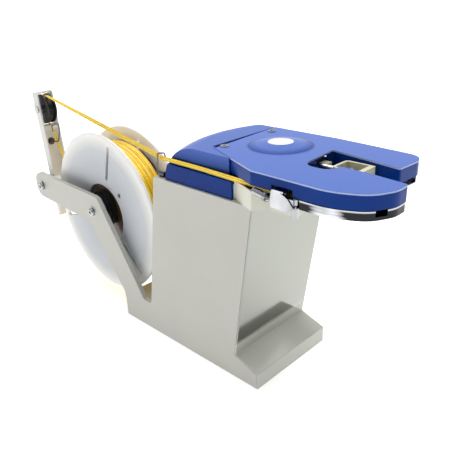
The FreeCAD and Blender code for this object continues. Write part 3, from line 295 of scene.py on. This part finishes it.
def mirror_patches(name, dark, pale):
    """Polished steel with a painted reflection of dark and pale patches, and a painted highlight line near its top
    edge.
    """
    steel = Finish(name, Metallic=1.0)
    reflection_patch = steel.noise(16.0, 2.0, stretch=(1.0, 1.0, 0.25))
    height = steel.height()
    fine = steel.noise(60.0, 2.0, stretch=(0.2, 0.2, 3.0))
    share = steel.spread(reflection_patch + fine * 0.12, 0.56, 0.62, 0.0, 1.0)
    painted_rim_highlight = steel.spread(height, JAW_TOP - 1.8 * MM, JAW_TOP - 0.8 * MM, 0.0, 0.75)
    lit = steel.node("ShaderNodeMath", {"operation": "MAXIMUM"}, {0: share, 1: painted_rim_highlight})
    steel.feed(Base_Color=steel.mix(lit, dark, pale))
    steel.feed(Roughness=steel.spread(reflection_patch, 0.3, 0.7, 0.06, 0.16))
    steel.bump(steel.noise(200.0, 2.0), 0.000004)
    return steel.material


bright = metal("polished_plate", rgb(206, 207, 210), rgb(128, 129, 132), 0.08, (0.3, 6.0, 6.0))
jaw_steel = mirror_patches("jaw_rim_steel", rgb(44, 45, 47), rgb(214, 215, 218))
chrome = metal("bright_fasteners", rgb(176, 177, 179), rgb(128, 129, 131), 0.18)
turned = metal("turned_steel", rgb(196, 197, 199), rgb(168, 169, 171), 0.28, (1.0, 14.0, 1.0))
ground = metal("ground_steel", rgb(146, 147, 150), rgb(116, 117, 120), 0.3, (8.0, 1.0, 1.0))
zinc = metal("zinc_plate", rgb(188, 190, 192), rgb(160, 160, 158), 0.42, (1.0, 1.0, 1.0), 40.0)
case_metal = metal("folded_case", rgb(205, 206, 208), rgb(180, 181, 183), 0.36, (12.0, 1.0, 1.0))
spring_metal = metal("spring_steel", rgb(120, 121, 124), rgb(92, 92, 94), 0.35, (1.0, 10.0, 1.0))
brass = metal("gear_brass", rgb(205, 168, 88), rgb(178, 140, 66), 0.26, (1.0, 1.0, 12.0))
can_black = powder_coat("motor_can", rgb(46, 46, 48), rgb(36, 36, 38), 0.4, 0.00003)
print("metals ready")

# %% [markdown]
# Spool flanges are milky plastic. Light goes a little way in, which subsurface scattering gives. The
# tone runs from a painted shade of cool grey in the middle, where the ribbon stands behind, to painted
# light near white at the rim, where a faint painted glow is added.
# The ribbon is a golden plastic film over a wire core. Its colour is mottled, and a very fine grain in
# its gloss and bump breaks up the light.

# %% Milky plastic and golden ribbon
def radial_distance(finish, centre):
    """The distance of a point from a line along Y through the centre."""
    spot = finish.node("ShaderNodeMapping", {"vector_type": "POINT"},
                       {"Vector": finish.place, "Location": (-centre.x, 0, -centre.z),
                        "Scale": (1, 0, 1)})
    return finish.node("ShaderNodeVectorMath", {"operation": "LENGTH"}, {"Vector": spot}, output="Value")


spool_low, spool_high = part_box("spool_flanges")
spool_centre = (spool_low + spool_high) / 2
flange_radius = (spool_high.x - spool_low.x) / 2


def milky(name):
    """Milky plastic whose tone is painted light: a shaded grey in the spool's middle, near white and glowing at
    its rim.
    """
    plastic = Finish(name, Coat_Weight=0.08, Coat_Roughness=0.35, Subsurface_Weight=0.35,
                     Subsurface_Scale=10.0 * MM, Subsurface_Radius=(1.0, 0.9, 0.8), Emission_Strength=0.06)
    reach = radial_distance(plastic, spool_centre)
    cloud = plastic.noise(16.0, 3.0)
    share = plastic.spread(reach + cloud * (6.0 * MM), 0.45 * flange_radius, 0.985 * flange_radius,
                           0.0, 1.0)
    # Painted shade in the middle and painted light at the rim, with a painted glow that rises toward the rim.
    tone = plastic.node("ShaderNodeValToRGB", {"stops": [
        (0.0, rgb(188, 193, 198)), (1.0, rgb(234, 234, 231)),
        (0.72, rgb(198, 202, 206)), (0.9, rgb(220, 221, 219))]}, {"Fac": share})
    plastic.feed(Base_Color=tone)
    plastic.feed(Emission_Color=plastic.mix(share, BLACK, rgb(255, 255, 252)))
    plastic.feed(Roughness=plastic.spread(cloud, 0.3, 0.7, 0.38, 0.5))
    plastic.bump(plastic.noise(500.0, 2.0), 0.00003)
    return plastic.material


def golden(name, light, deep):
    """Mottled golden film with a fine grain."""
    film = Finish(name, Coat_Weight=0.5, Coat_Roughness=0.15, Metallic=0.15)
    tone = film.noise(40.0, 2.0, 0.5)
    film.feed(Base_Color=film.mix(film.spread(tone, 0.3, 0.7, 0.0, 1.0), deep, light))
    grain = film.noise(1500.0, 2.0)
    film.feed(Roughness=film.spread(grain, 0.3, 0.7, 0.2, 0.38))
    film.bump(grain, 0.00002)
    return film.material


flange_milky = milky("spool_plastic")
ribbon_gold = golden("gold_ribbon", rgb(255, 222, 50), rgb(250, 206, 24))
wound_gold = golden("wound_ribbon", rgb(255, 216, 28), rgb(244, 192, 10))
# The underlayer's gold is darkened to painted shade: the deep shade between the wound strands.
core_gold_painted_shade = golden("ribbon_underlayer_painted_shade", rgb(92, 58, 6), rgb(60, 36, 4))
print("spool and ribbon finishes ready")

# %% [markdown]
# Each carried-over part gets the finish of the real one. A table of finish to parts keeps the whole
# machine's look in one place.

# %% Dress the engineering parts
dress = {
    plate_paint: ("side_plate_near", "side_plate_far"),
    front_paint: ("front_panel", "rear_panel"),
    arm_paint: ("tension_arm",),
    cream_paint: ("head_tray",),
    zinc: ("base_plate",),
    cover_blue: ("front_cover",),
    rear_blue: ("rear_cover",),
    badge_white: ("cover_badge",),
    jaw_steel: ("jaw_plate",),
    bright: ("pressure_lever", "spring_barrel", "adjuster_nut", "roller_bracket"),
    chrome: ("arm_screws", "cover_screws"),
    turned: ("spool_axle", "arm_pivot_shaft", "drive_gear_shaft", "twister_shaft", "pivot_posts",
             "pulley_axle", "motor_pinion", "needle_pinion"),
    ground: ("needle_arm", "twister_hook", "ribbon_roller", "pressure_roller"),
    case_metal: ("tube_spacers", "power_supply"),
    spring_metal: ("arm_spring", "arm_wire_guide", "inlet_wire_guide"),
    brass: ("drive_gear", "idler_gear", "twist_motor_gear"),
    can_black: ("drive_motor", "twist_motor"),
    hub_black: ("spool_hub", "pivot_bush", "guide_pulley"),
    inlet_black: ("power_inlet", "switch_body", "trigger_switch"),
    rocker_black: ("switch_rocker",),
    board_green: ("control_board",),
    core_tube: ("spool_core",),
    block_white: ("arm_cross_blocks",),
    trigger_cream: ("trigger_loop", "trigger_guide"),
    bearing_white: ("twister_bearings",),
    flange_milky: ("spool_flanges",),
    ribbon_gold: ("ribbon_top_run", "ribbon_feed_run", "ribbon_pulley_wrap", "ribbon_spool_run"),
    core_gold_painted_shade: ("ribbon_coil",),
}
for finish, names in dress.items():
    for name in names:
        for place in frame["nodes"][name].material_slots:
            place.material = finish
dressed = {name for names in dress.values() for name in names}
left_over = sorted(set(frame["nodes"]) - dressed)
print("dressed", len(dressed), "of", len(frame["nodes"]), "parts; left:", left_over)

# %% [markdown]
# An engineering part has knife-sharp edges, while a real sheet, casting or moulding has small rounded
# ones that catch a line of light. A copy of the part is merged, its flat faces are joined again and
# a narrow bevel is put on every sharp edge. The copy then stands for the part.

# %% Parts with eased edges
def nothing_selected():
    if bpy.context.object and bpy.context.object.mode != "OBJECT":
        bpy.ops.object.mode_set(mode="OBJECT")
    bpy.ops.object.select_all(action="DESELECT")


def take(piece):
    nothing_selected()
    piece.select_set(True)
    bpy.context.view_layer.objects.active = piece


def apply_all(piece):
    take(piece)
    for modifier in list(piece.modifiers):
        bpy.ops.object.modifier_apply(modifier=modifier.name)


def settle(piece):
    take(piece)
    bpy.ops.object.transform_apply(location=True, rotation=True, scale=True)


def body_of(node):
    bodies = frame["record"]["behaviour"]["bodies"]
    return next(body for body, members in bodies.items() if node in members)


def slot_of(node):
    entries = frame["record"]["subparts"]
    return next(entry["material_slot"] for entry in entries if entry["node"] == node)


def smooth_edges(piece, degrees=32):
    take(piece)
    bpy.ops.object.shade_smooth_by_angle(angle=math.radians(degrees))


def even_shading(piece):
    """Large flat faces decide the normals, so a bevel doesn't shade the flat beside it."""
    weighted = piece.modifiers.new("even", "WEIGHTED_NORMAL")
    weighted.mode = "FACE_AREA"
    weighted.weight = 100
    weighted.keep_sharp = True
    apply_all(piece)


def stand_for(piece, node, finish):
    piece.data.materials.clear()
    piece.data.materials.append(finish)
    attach(piece, body_of(node))
    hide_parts(node)
    slot_of(node)


def eased_copy(node, finish, width):
    source = frame["nodes"][node]
    piece = bpy.data.objects.new("eased_" + node, source.data.copy())
    bpy.context.collection.objects.link(piece)
    take(piece)
    bpy.ops.object.mode_set(mode="EDIT")
    bpy.ops.mesh.select_all(action="SELECT")
    bpy.ops.mesh.remove_doubles(threshold=0.000002)
    bpy.ops.mesh.dissolve_limited(angle_limit=math.radians(0.6))
    bpy.ops.object.mode_set(mode="OBJECT")
    bevel = piece.modifiers.new("eased", "BEVEL")
    bevel.width = width
    bevel.segments = 2
    bevel.limit_method = "ANGLE"
    bevel.angle_limit = math.radians(28)
    bevel.use_clamp_overlap = True
    apply_all(piece)
    smooth_edges(piece)
    even_shading(piece)
    stand_for(piece, node, finish)
    return piece


# Each row is a part, its finish and the bevel's width in millimetres.
eased = (
    ("side_plate_near", plate_paint, 0.5), ("side_plate_far", plate_paint, 0.5),
    ("front_panel", front_paint, 0.7), ("rear_panel", front_paint, 0.5),
    ("front_cover", cover_blue, 1.4), ("rear_cover", rear_blue, 0.7),
    ("head_tray", cream_paint, 0.5), ("jaw_plate", jaw_steel, 0.6), ("tension_arm", arm_paint, 0.4),
    ("trigger_loop", trigger_cream, 0.6), ("roller_bracket", bright, 0.3), ("pressure_lever", bright, 0.35),
    ("spool_hub", hub_black, 0.6), ("spool_flanges", flange_milky, 0.7),
    ("pivot_bush", hub_black, 0.6), ("guide_pulley", hub_black, 0.5),
    ("arm_cross_blocks", block_white, 0.3), ("cover_badge", badge_white, 0.25),
    ("power_inlet", inlet_black, 0.4), ("switch_body", inlet_black, 0.4),
    ("switch_rocker", rocker_black, 0.4), ("needle_arm", ground, 0.4),
)
for node, finish, width in eased:
    piece = eased_copy(node, finish, width * MM)
    print(piece.name, len(piece.data.polygons), "faces")

# %% [markdown]
# The ribbon is a flat strip with a round wire along its middle and a bead at each edge. The wound
# stock is that strip laid in layers which cross each other. Each layer is one open section that the
# Screw modifier carries round the spool's axis while it shifts sideways, then Solidify gives it the
# thickness of the strip.

# %% The ribbon's section
RIBBON_WIDTH = 5.5 * MM
RIBBON_FILM = 0.35 * MM
# Each point of the section is a share of the width and a rise in millimetres.
SECTION = ((-0.5, 0.25), (-0.44, 0.42), (-0.36, 0.12), (-0.16, 0.10), (-0.1, 0.55), (0.0, 0.72),
           (0.1, 0.55), (0.16, 0.10), (0.36, 0.12), (0.44, 0.42), (0.5, 0.25))


def section_mesh(name, reach, along_y, start_turn):
    """The strip's section as an open line of edges, at a radius from the Y axis."""
    points = []
    for share, rise in SECTION:
        radius = reach + rise * MM
        points.append((radius * math.cos(start_turn), along_y + share * RIBBON_WIDTH,
                       -radius * math.sin(start_turn)))
    mesh = bpy.data.meshes.new(name)
    mesh.from_pydata(points, [(i, i + 1) for i in range(len(points) - 1)], [])
    piece = bpy.data.objects.new(name, mesh)
    bpy.context.collection.objects.link(piece)
    return piece


def add_film(strip):
    film = strip.modifiers.new("film", "SOLIDIFY")
    film.thickness = RIBBON_FILM
    film.offset = 0.0


def wound_layer(index, reach, start_y, shift, turns, start_turn):
    layer = section_mesh("layer_%02d" % index, reach, start_y, start_turn)
    winding = layer.modifiers.new("winding", "SCREW")
    winding.axis = "Y"
    winding.angle = math.radians(360.0 * turns)
    winding.screw_offset = shift
    winding.iterations = 1
    winding.steps = int(60 * turns)
    winding.render_steps = winding.steps
    winding.use_smooth_shade = True
    add_film(layer)
    apply_all(layer)
    return layer


print("ribbon section with", len(SECTION), "points")

# %% [markdown]
# The strips of a wound stock cross each other at odd angles, and the outermost are single wraps. The
# deep layers therefore fill the spool from side to side and the outer ones start and stop anywhere.
# They are laid one by one and joined, over a plain cylinder that closes the gaps between them and is
# darkened as painted shade, the shade deep between the strands.

# %% The wound stock
coil_low, coil_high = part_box("ribbon_coil")
coil_middle = (coil_low + coil_high) / 2
wound_reach = (coil_high.x - coil_low.x) / 2
lane_low = coil_low.y + RIBBON_WIDTH * 0.55
lane_high = coil_high.y - RIBBON_WIDTH * 0.55
lane_span = lane_high - lane_low
# Each row is a layer: its height beside the outer face in millimetres, where it starts and how far it
# shifts, both as shares of the spool's width, its turns and the angle at which it starts.
layer_plan = (
    (-5.6, 0.0, 1.0, 6.5, 0.3), (-4.9, 1.0, -1.0, 6.2, 1.1), (-4.2, 0.0, 1.0, 4.4, 2.0),
    (-3.5, 1.0, -1.0, 3.6, 0.4), (-2.9, 0.02, 0.93, 2.9, 2.9), (-2.4, 0.95, -0.9, 2.2, 3.6),
    (-1.9, 0.1, 0.8, 1.7, 5.0), (-1.5, 0.9, -0.7, 1.4, 2.4), (-1.1, 0.25, 0.55, 1.2, 3.3),
    (-0.9, 0.62, 0.33, 1.15, 2.6), (-0.7, 0.35, -0.3, 1.1, 3.1), (-0.5, 0.5, 0.2, 1.05, 4.0))


def joined(pieces, name):
    nothing_selected()
    for piece in pieces:
        piece.select_set(True)
    bpy.context.view_layer.objects.active = pieces[0]
    bpy.ops.object.join()
    whole = bpy.context.object
    whole.name = name
    return whole


layers = []
for index, (sink, start, shift, turns, start_turn) in enumerate(layer_plan):
    layers.append(wound_layer(index, wound_reach + sink * MM, lane_low + start * lane_span - coil_middle.y,
                              shift * lane_span, turns, start_turn))
wound = joined(layers, "wound_ribbon")
wound.data.materials.append(wound_gold)
nothing_selected()
bpy.ops.mesh.primitive_cylinder_add(vertices=96, radius=wound_reach - 5.2 * MM,
                                    depth=coil_high.y - coil_low.y, end_fill_type="NGON",
                                    location=(0, 0, 0), rotation=(math.radians(90), 0, 0))
under = bpy.context.object
under.name = "ribbon_underlayer_painted_shade"
bpy.ops.object.mode_set(mode="EDIT")
bpy.ops.mesh.select_all(action="SELECT")
bpy.ops.mesh.bevel(offset=1.2 * MM, segments=2, affect="EDGES", clamp_overlap=True)
bpy.ops.object.mode_set(mode="OBJECT")
settle(under)
under.data.materials.append(core_gold_painted_shade)
for piece in (wound, under):
    piece.location = coil_middle
    settle(piece)
    smooth_edges(piece, 50)
    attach(piece, "spool")
    slot_of("ribbon_coil")
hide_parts("ribbon_coil")
print("wound ribbon:", len(wound.data.polygons), "faces")

# %% [markdown]
# The free stretches use the same section. Screw with no turn carries it straight along X, and a
# twist turns the strip from flat on the pulley to upright in the guide. Each stretch is then aimed
# from its start to its end.

# %% A straight or twisted stretch
RUN_WIDTH_SHARE = 0.85


def stretch(name, start, end, start_turn, end_turn):
    run = end - start
    strip = section_mesh(name, 0.0, 0.0, math.radians(-90))
    strip.scale.y = RUN_WIDTH_SHARE
    settle(strip)
    carry = strip.modifiers.new("carry", "SCREW")
    carry.axis = "X"
    carry.angle = 0.0
    carry.screw_offset = run.length
    carry.steps = 48
    carry.render_steps = 48
    add_film(strip)
    twist = strip.modifiers.new("twist", "SIMPLE_DEFORM")
    twist.deform_method = "TWIST"
    twist.deform_axis = "X"
    twist.angle = math.radians(end_turn - start_turn)
    apply_all(strip)
    aim = run.to_track_quat("X", "Z").to_matrix().to_4x4()
    strip.rotation_mode = "QUATERNION"
    strip.rotation_quaternion = (aim @ Matrix.Rotation(math.radians(start_turn), 4, "X")).to_quaternion()
    strip.location = start
    settle(strip)
    strip.data.materials.append(ribbon_gold)
    smooth_edges(strip, 50)
    slot_of("ribbon_top_run")
    return strip


def centre_of(node):
    low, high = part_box(node)
    return (low + high) / 2


print("free runs are", round(RIBBON_WIDTH * RUN_WIDTH_SHARE / MM, 2), "mm wide")

# %% [markdown]
# The ribbon leaves the coil, passes the wire eye on the arm, goes round the pulley and runs along the
# near side of the head to the jaw. Its ends are read from the boxes of the parts that it replaces. The
# arm swings, so what lies on the arm rides with it.

# %% The ribbon's way through the machine
FLAT, TOP_END, UPRIGHT = 0, 78, 90
wrap_low, wrap_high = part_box("ribbon_pulley_wrap")
feed_low, feed_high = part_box("ribbon_feed_run")
spool_run_low, spool_run_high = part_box("ribbon_spool_run")
pulley_middle = centre_of("guide_pulley")
lane = Vector((feed_low.x, feed_high.y - 0.45 * MM, (feed_low.z + feed_high.z) / 2))
pulley_top = Vector((pulley_middle.x + 6.0 * MM, pulley_middle.y, wrap_high.z - 0.4 * MM))
top_run = stretch("top_ribbon", pulley_top, lane, FLAT, TOP_END)
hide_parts("ribbon_top_run")
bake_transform(top_run)
eye_middle = Vector((spool_run_low.x + 10.0 * MM, pulley_middle.y,
                     centre_of("arm_wire_guide").z + 1.0 * MM))
coil_leave = Vector((spool_run_high.x - 0.8 * MM, pulley_middle.y + 8.0 * MM, spool_run_low.z + 1.0 * MM))
pulley_foot = Vector((pulley_middle.x + 2.0 * MM, pulley_middle.y, wrap_low.z + 0.4 * MM))
spool_run = stretch("spool_ribbon", coil_leave, eye_middle, UPRIGHT, UPRIGHT)
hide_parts("ribbon_spool_run")
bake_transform(spool_run)
eye_run = stretch("eye_ribbon", eye_middle, pulley_foot, UPRIGHT, UPRIGHT)
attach(eye_run, "tension_arm")
deep_y = feed_low.y + 0.45 * MM
lane_stops = [(lane.x, lane.y), (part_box("front_cover")[0].x + 3.0 * MM, lane.y),
              (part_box("jaw_plate")[0].x, deep_y + 1.4 * MM),
              (centre_of("pressure_roller").x - 9.0 * MM, deep_y), (feed_high.x, deep_y)]
lane_points = [Vector((x, y, lane.z)) for x, y in lane_stops]
for index, (start, end) in enumerate(zip(lane_points, lane_points[1:])):
    piece = stretch("lane_ribbon_%d" % index, start, end, UPRIGHT, UPRIGHT)
    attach(piece, "housing")
    if index == 0:
        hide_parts("ribbon_feed_run")
eased_copy("ribbon_pulley_wrap", ribbon_gold, 0.12 * MM)
print("ribbon stretches:", round((lane - pulley_top).length, 3), "m from pulley to guide")

# %% [markdown]
# The spool turns on a stepped black drum that is a good deal smaller than the core's bore. It is made
# about the hub's own axis: a disc whose near face is inset and pushed in or out once for each step.

# %% Hub drum
def spin_disc(name, middle, radius, thickness, steps, finish, bevel):
    """A disc on a Y axis whose near face is stepped; steps are (inset, push) pairs."""
    nothing_selected()
    bpy.ops.mesh.primitive_cylinder_add(vertices=72, radius=radius, depth=thickness, location=(0, 0, 0),
                                        rotation=(math.radians(90), 0, 0))
    disc = bpy.context.object
    disc.name = name
    settle(disc)
    for inset, push in steps:
        bpy.ops.object.mode_set(mode="EDIT")
        bpy.ops.mesh.select_all(action="DESELECT")
        bpy.ops.object.mode_set(mode="OBJECT")
        faces = [face for face in disc.data.polygons if face.normal.y < -0.9]
        front = max(faces, key=lambda face: len(face.vertices))
        front.select = True
        bpy.ops.object.mode_set(mode="EDIT")
        bpy.ops.mesh.select_mode(type="FACE")
        bpy.ops.mesh.inset(thickness=inset)
        bpy.ops.mesh.extrude_region_move(TRANSFORM_OT_translate={"value": (0, push, 0)})
        bpy.ops.object.mode_set(mode="OBJECT")
    edge = disc.modifiers.new("eased", "BEVEL")
    edge.width = bevel
    edge.segments = 2
    edge.limit_method = "ANGLE"
    edge.angle_limit = math.radians(40)
    apply_all(disc)
    disc.location = middle
    settle(disc)
    disc.data.materials.append(finish)
    smooth_edges(disc, 40)
    return disc


core_low, core_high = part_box("spool_core")
hub_middle = centre_of("spool_hub")
drum_radius = (core_high.x - core_low.x) / 2 * 0.57
drum_middle = Vector((hub_middle.x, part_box("spool_hub")[0].y + 14.0 * MM, hub_middle.z))
drum_steps = ((1.6 * MM, 1.2 * MM), (1.2 * MM, -1.2 * MM), (5.0 * MM, 2.0 * MM))
drum = spin_disc("hub_drum", drum_middle, drum_radius, 24.0 * MM, drum_steps, hub_black, 0.5 * MM)
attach(drum, "housing")
slot_of("spool_hub")
print("hub drum:", len(drum.data.polygons), "faces")

# %% [markdown]
# Small turned pieces make bright fasteners look real: a pressed washer on each side plate at the pivot
# and the axle, four rings on the spring barrel, a ring round the badge and the knurl of the adjuster.
# A washer is one torus that is flattened, and the knurl is a ring of small bars about the nut's axis,
# which is the axis of its joint in the frame.

# %% Washers and rings
def ring(name, middle, axis, major, minor, finish, flat=1.0, like="arm_screws"):
    nothing_selected()
    bpy.ops.mesh.primitive_torus_add(location=(0, 0, 0), major_segments=40, minor_segments=10,
                                     major_radius=major, minor_radius=minor)
    piece = bpy.context.object
    piece.name = name
    piece.scale.z = flat
    settle(piece)
    piece.rotation_mode = "QUATERNION"
    piece.rotation_quaternion = Vector(axis).to_track_quat("Z", "Y")
    piece.location = middle
    settle(piece)
    piece.data.materials.append(finish)
    smooth_edges(piece, 60)
    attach(piece, "housing")
    slot_of(like)


near_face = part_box("side_plate_near")[0].y
for tag, node in (("pivot", "arm_pivot_shaft"), ("axle", "spool_axle")):
    middle = centre_of(node)
    for side, face in (("near", near_face), ("far", -near_face)):
        spot = Vector((middle.x, face, middle.z))
        ring("washer_%s_%s" % (tag, side), spot, (0, 1, 0), 6.2 * MM, 1.3 * MM, zinc, 0.5)

KNURL_BARS = 20
nut_middle = centre_of("adjuster_nut")
barrel_way = Vector(next(joint["axis"] for joint in frame["joints"] if joint["name"] == "adjuster_turn"))
barrel_side = Vector((-barrel_way.y, barrel_way.x, 0.0))
bars = []
for index in range(KNURL_BARS):
    turn_angle = index * math.tau / KNURL_BARS
    across = barrel_side * math.cos(turn_angle) + Vector((0, 0, 1)) * math.sin(turn_angle)
    nothing_selected()
    bpy.ops.mesh.primitive_cylinder_add(vertices=6, radius=0.42 * MM, depth=4.0 * MM,
                                        location=nut_middle + across * 3.9 * MM)
    bar = bpy.context.object
    bar.rotation_mode = "QUATERNION"
    bar.rotation_quaternion = barrel_way.to_track_quat("Z", "Y")
    bars.append(bar)
knurl = joined(bars, "adjuster_knurl")
settle(knurl)
knurl.data.materials.append(spring_metal)
smooth_edges(knurl, 40)
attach(knurl, "adjuster_nut")
slot_of("adjuster_nut")
for index, along in enumerate((4.0, 7.0, 10.0, 13.0)):
    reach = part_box("spring_barrel")[0].x + along * MM - nut_middle.x
    spot = nut_middle + barrel_way * (reach / barrel_way.x)
    ring("barrel_ring_%d" % index, spot, barrel_way, 3.55 * MM, 0.22 * MM, zinc)
badge_top = centre_of("cover_badge")
badge_top.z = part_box("cover_badge")[1].z - 0.1 * MM
ring("badge_ring", badge_top, (0, 0, 1), 10.6 * MM, 0.35 * MM, badge_white, 0.6, like="cover_badge")
print("fastener details added")

# %% [markdown]
# The studio is a pale floor, a large soft light above and behind, a weak one from the ribbon side and a
# room of light. The room is bright behind the machine and dark on the ribbon side, because polished
# parts need something to mirror. Seen directly it is plain white, and the floor glows more with
# distance, so that the two meet with no line. A bent paper backdrop is the other way to hide it.

# %% Studio
BEHIND = (-0.62, 0.62, 0.48)
ROOM_DARK = (0.22, 0.22, 0.23, 1.0)
WHITE = (1.0, 1.0, 1.0, 1.0)
ROOM_STRENGTH = 0.72
nothing_selected()
bpy.ops.mesh.primitive_plane_add(size=60.0, location=(0, 0, 0))
floor = bpy.context.object
floor.name = "studio_floor"
paper = Finish("studio_paper", Roughness=0.9, Specular_IOR_Level=0.2, Emission_Strength=1.0)
paper.feed(Base_Color=paper.mix(paper.noise(3.0, 2.0), rgb(250, 250, 250), rgb(248, 248, 249)))
away = paper.node("ShaderNodeVectorMath", {"operation": "LENGTH"}, {"Vector": paper.place}, output="Value")
far_share = paper.spread(away, 0.5, 2.5, 0.0, 1.0)
paper.feed(Emission_Color=paper.mix(far_share, rgb(196, 196, 196), WHITE))
floor.data.materials.append(paper.material)


def soft_light(name, place, aim, size, power):
    nothing_selected()
    bpy.ops.object.light_add(type="AREA", location=place)
    light = bpy.context.object
    light.name = name
    light.data.shape = "RECTANGLE"
    light.data.size = size[0]
    light.data.size_y = size[1]
    light.data.energy = power
    light.rotation_euler = (Vector(aim) - Vector(place)).to_track_quat("-Z", "Y").to_euler()


soft_light("overhead", (-0.1, 0.35, 1.5), (0, 0, 0.1), (2.0, 1.4), 23.0)
soft_light("ribbon_side", (-0.7, -1.9, 0.9), (0, 0, 0.15), (1.2, 1.0), 3.5)
world = bpy.data.worlds.new("studio_air")
bpy.context.scene.world = world
world.use_nodes = True
air = world.node_tree
behind = air.nodes.new("ShaderNodeVectorMath")
behind.operation = "DOT_PRODUCT"
behind.inputs[1].default_value = BEHIND
direction = air.nodes.new("ShaderNodeTexCoord")
air.links.new(direction.outputs["Generated"], behind.inputs[0])
sky = air.nodes.new("ShaderNodeValToRGB")
sky.color_ramp.elements[0].position = 0.0
sky.color_ramp.elements[0].color = ROOM_DARK
sky.color_ramp.elements[1].position = 0.85
sky.color_ramp.elements[1].color = WHITE
air.links.new(behind.outputs["Value"], sky.inputs["Fac"])
background = air.nodes["Background"]
air.links.new(sky.outputs["Color"], background.inputs["Color"])
background.inputs["Strength"].default_value = ROOM_STRENGTH
white = air.nodes.new("ShaderNodeBackground")
white.inputs["Color"].default_value = WHITE
seen = air.nodes.new("ShaderNodeLightPath")
choice = air.nodes.new("ShaderNodeMixShader")
air.links.new(seen.outputs["Is Camera Ray"], choice.inputs[0])
air.links.new(background.outputs[0], choice.inputs[1])
air.links.new(white.outputs[0], choice.inputs[2])
air.links.new(choice.outputs[0], air.nodes["World Output"].inputs["Surface"])
bpy.context.scene.view_settings.view_transform = "Standard"

# %% [markdown]
# The camera stands in front of the jaw at the ribbon side and looks down on the machine, which shows
# the spool, the head and the panel at once. Its turn is built from three axes: the one that points
# back from the view, the one to the right and the one up, tilted a little by the roll.

# %% Camera
camera_place = Vector((0.4226, -0.4104, 0.3954))
azimuth = math.radians(44.9)
elevation = math.radians(23.7)
roll = math.radians(-2.1)
back = Vector((math.sin(azimuth) * math.cos(elevation), -math.cos(azimuth) * math.cos(elevation),
               math.sin(elevation)))
right = Vector((math.cos(azimuth), math.sin(azimuth), 0))
up = back.cross(right)
tilted_right = right * math.cos(roll) + up * math.sin(roll)
tilted_up = up * math.cos(roll) - right * math.sin(roll)
turn = Matrix((tilted_right, tilted_up, back)).transposed().to_4x4()
nothing_selected()
bpy.ops.object.camera_add(location=camera_place)
camera = bpy.context.object
camera.name = "studio_camera"
camera.matrix_world = Matrix.Translation(camera_place) @ turn
camera.data.lens = 44.96
camera.data.sensor_width = 36.0
bpy.context.scene.camera = camera
print("camera at", [round(v, 3) for v in camera_place])
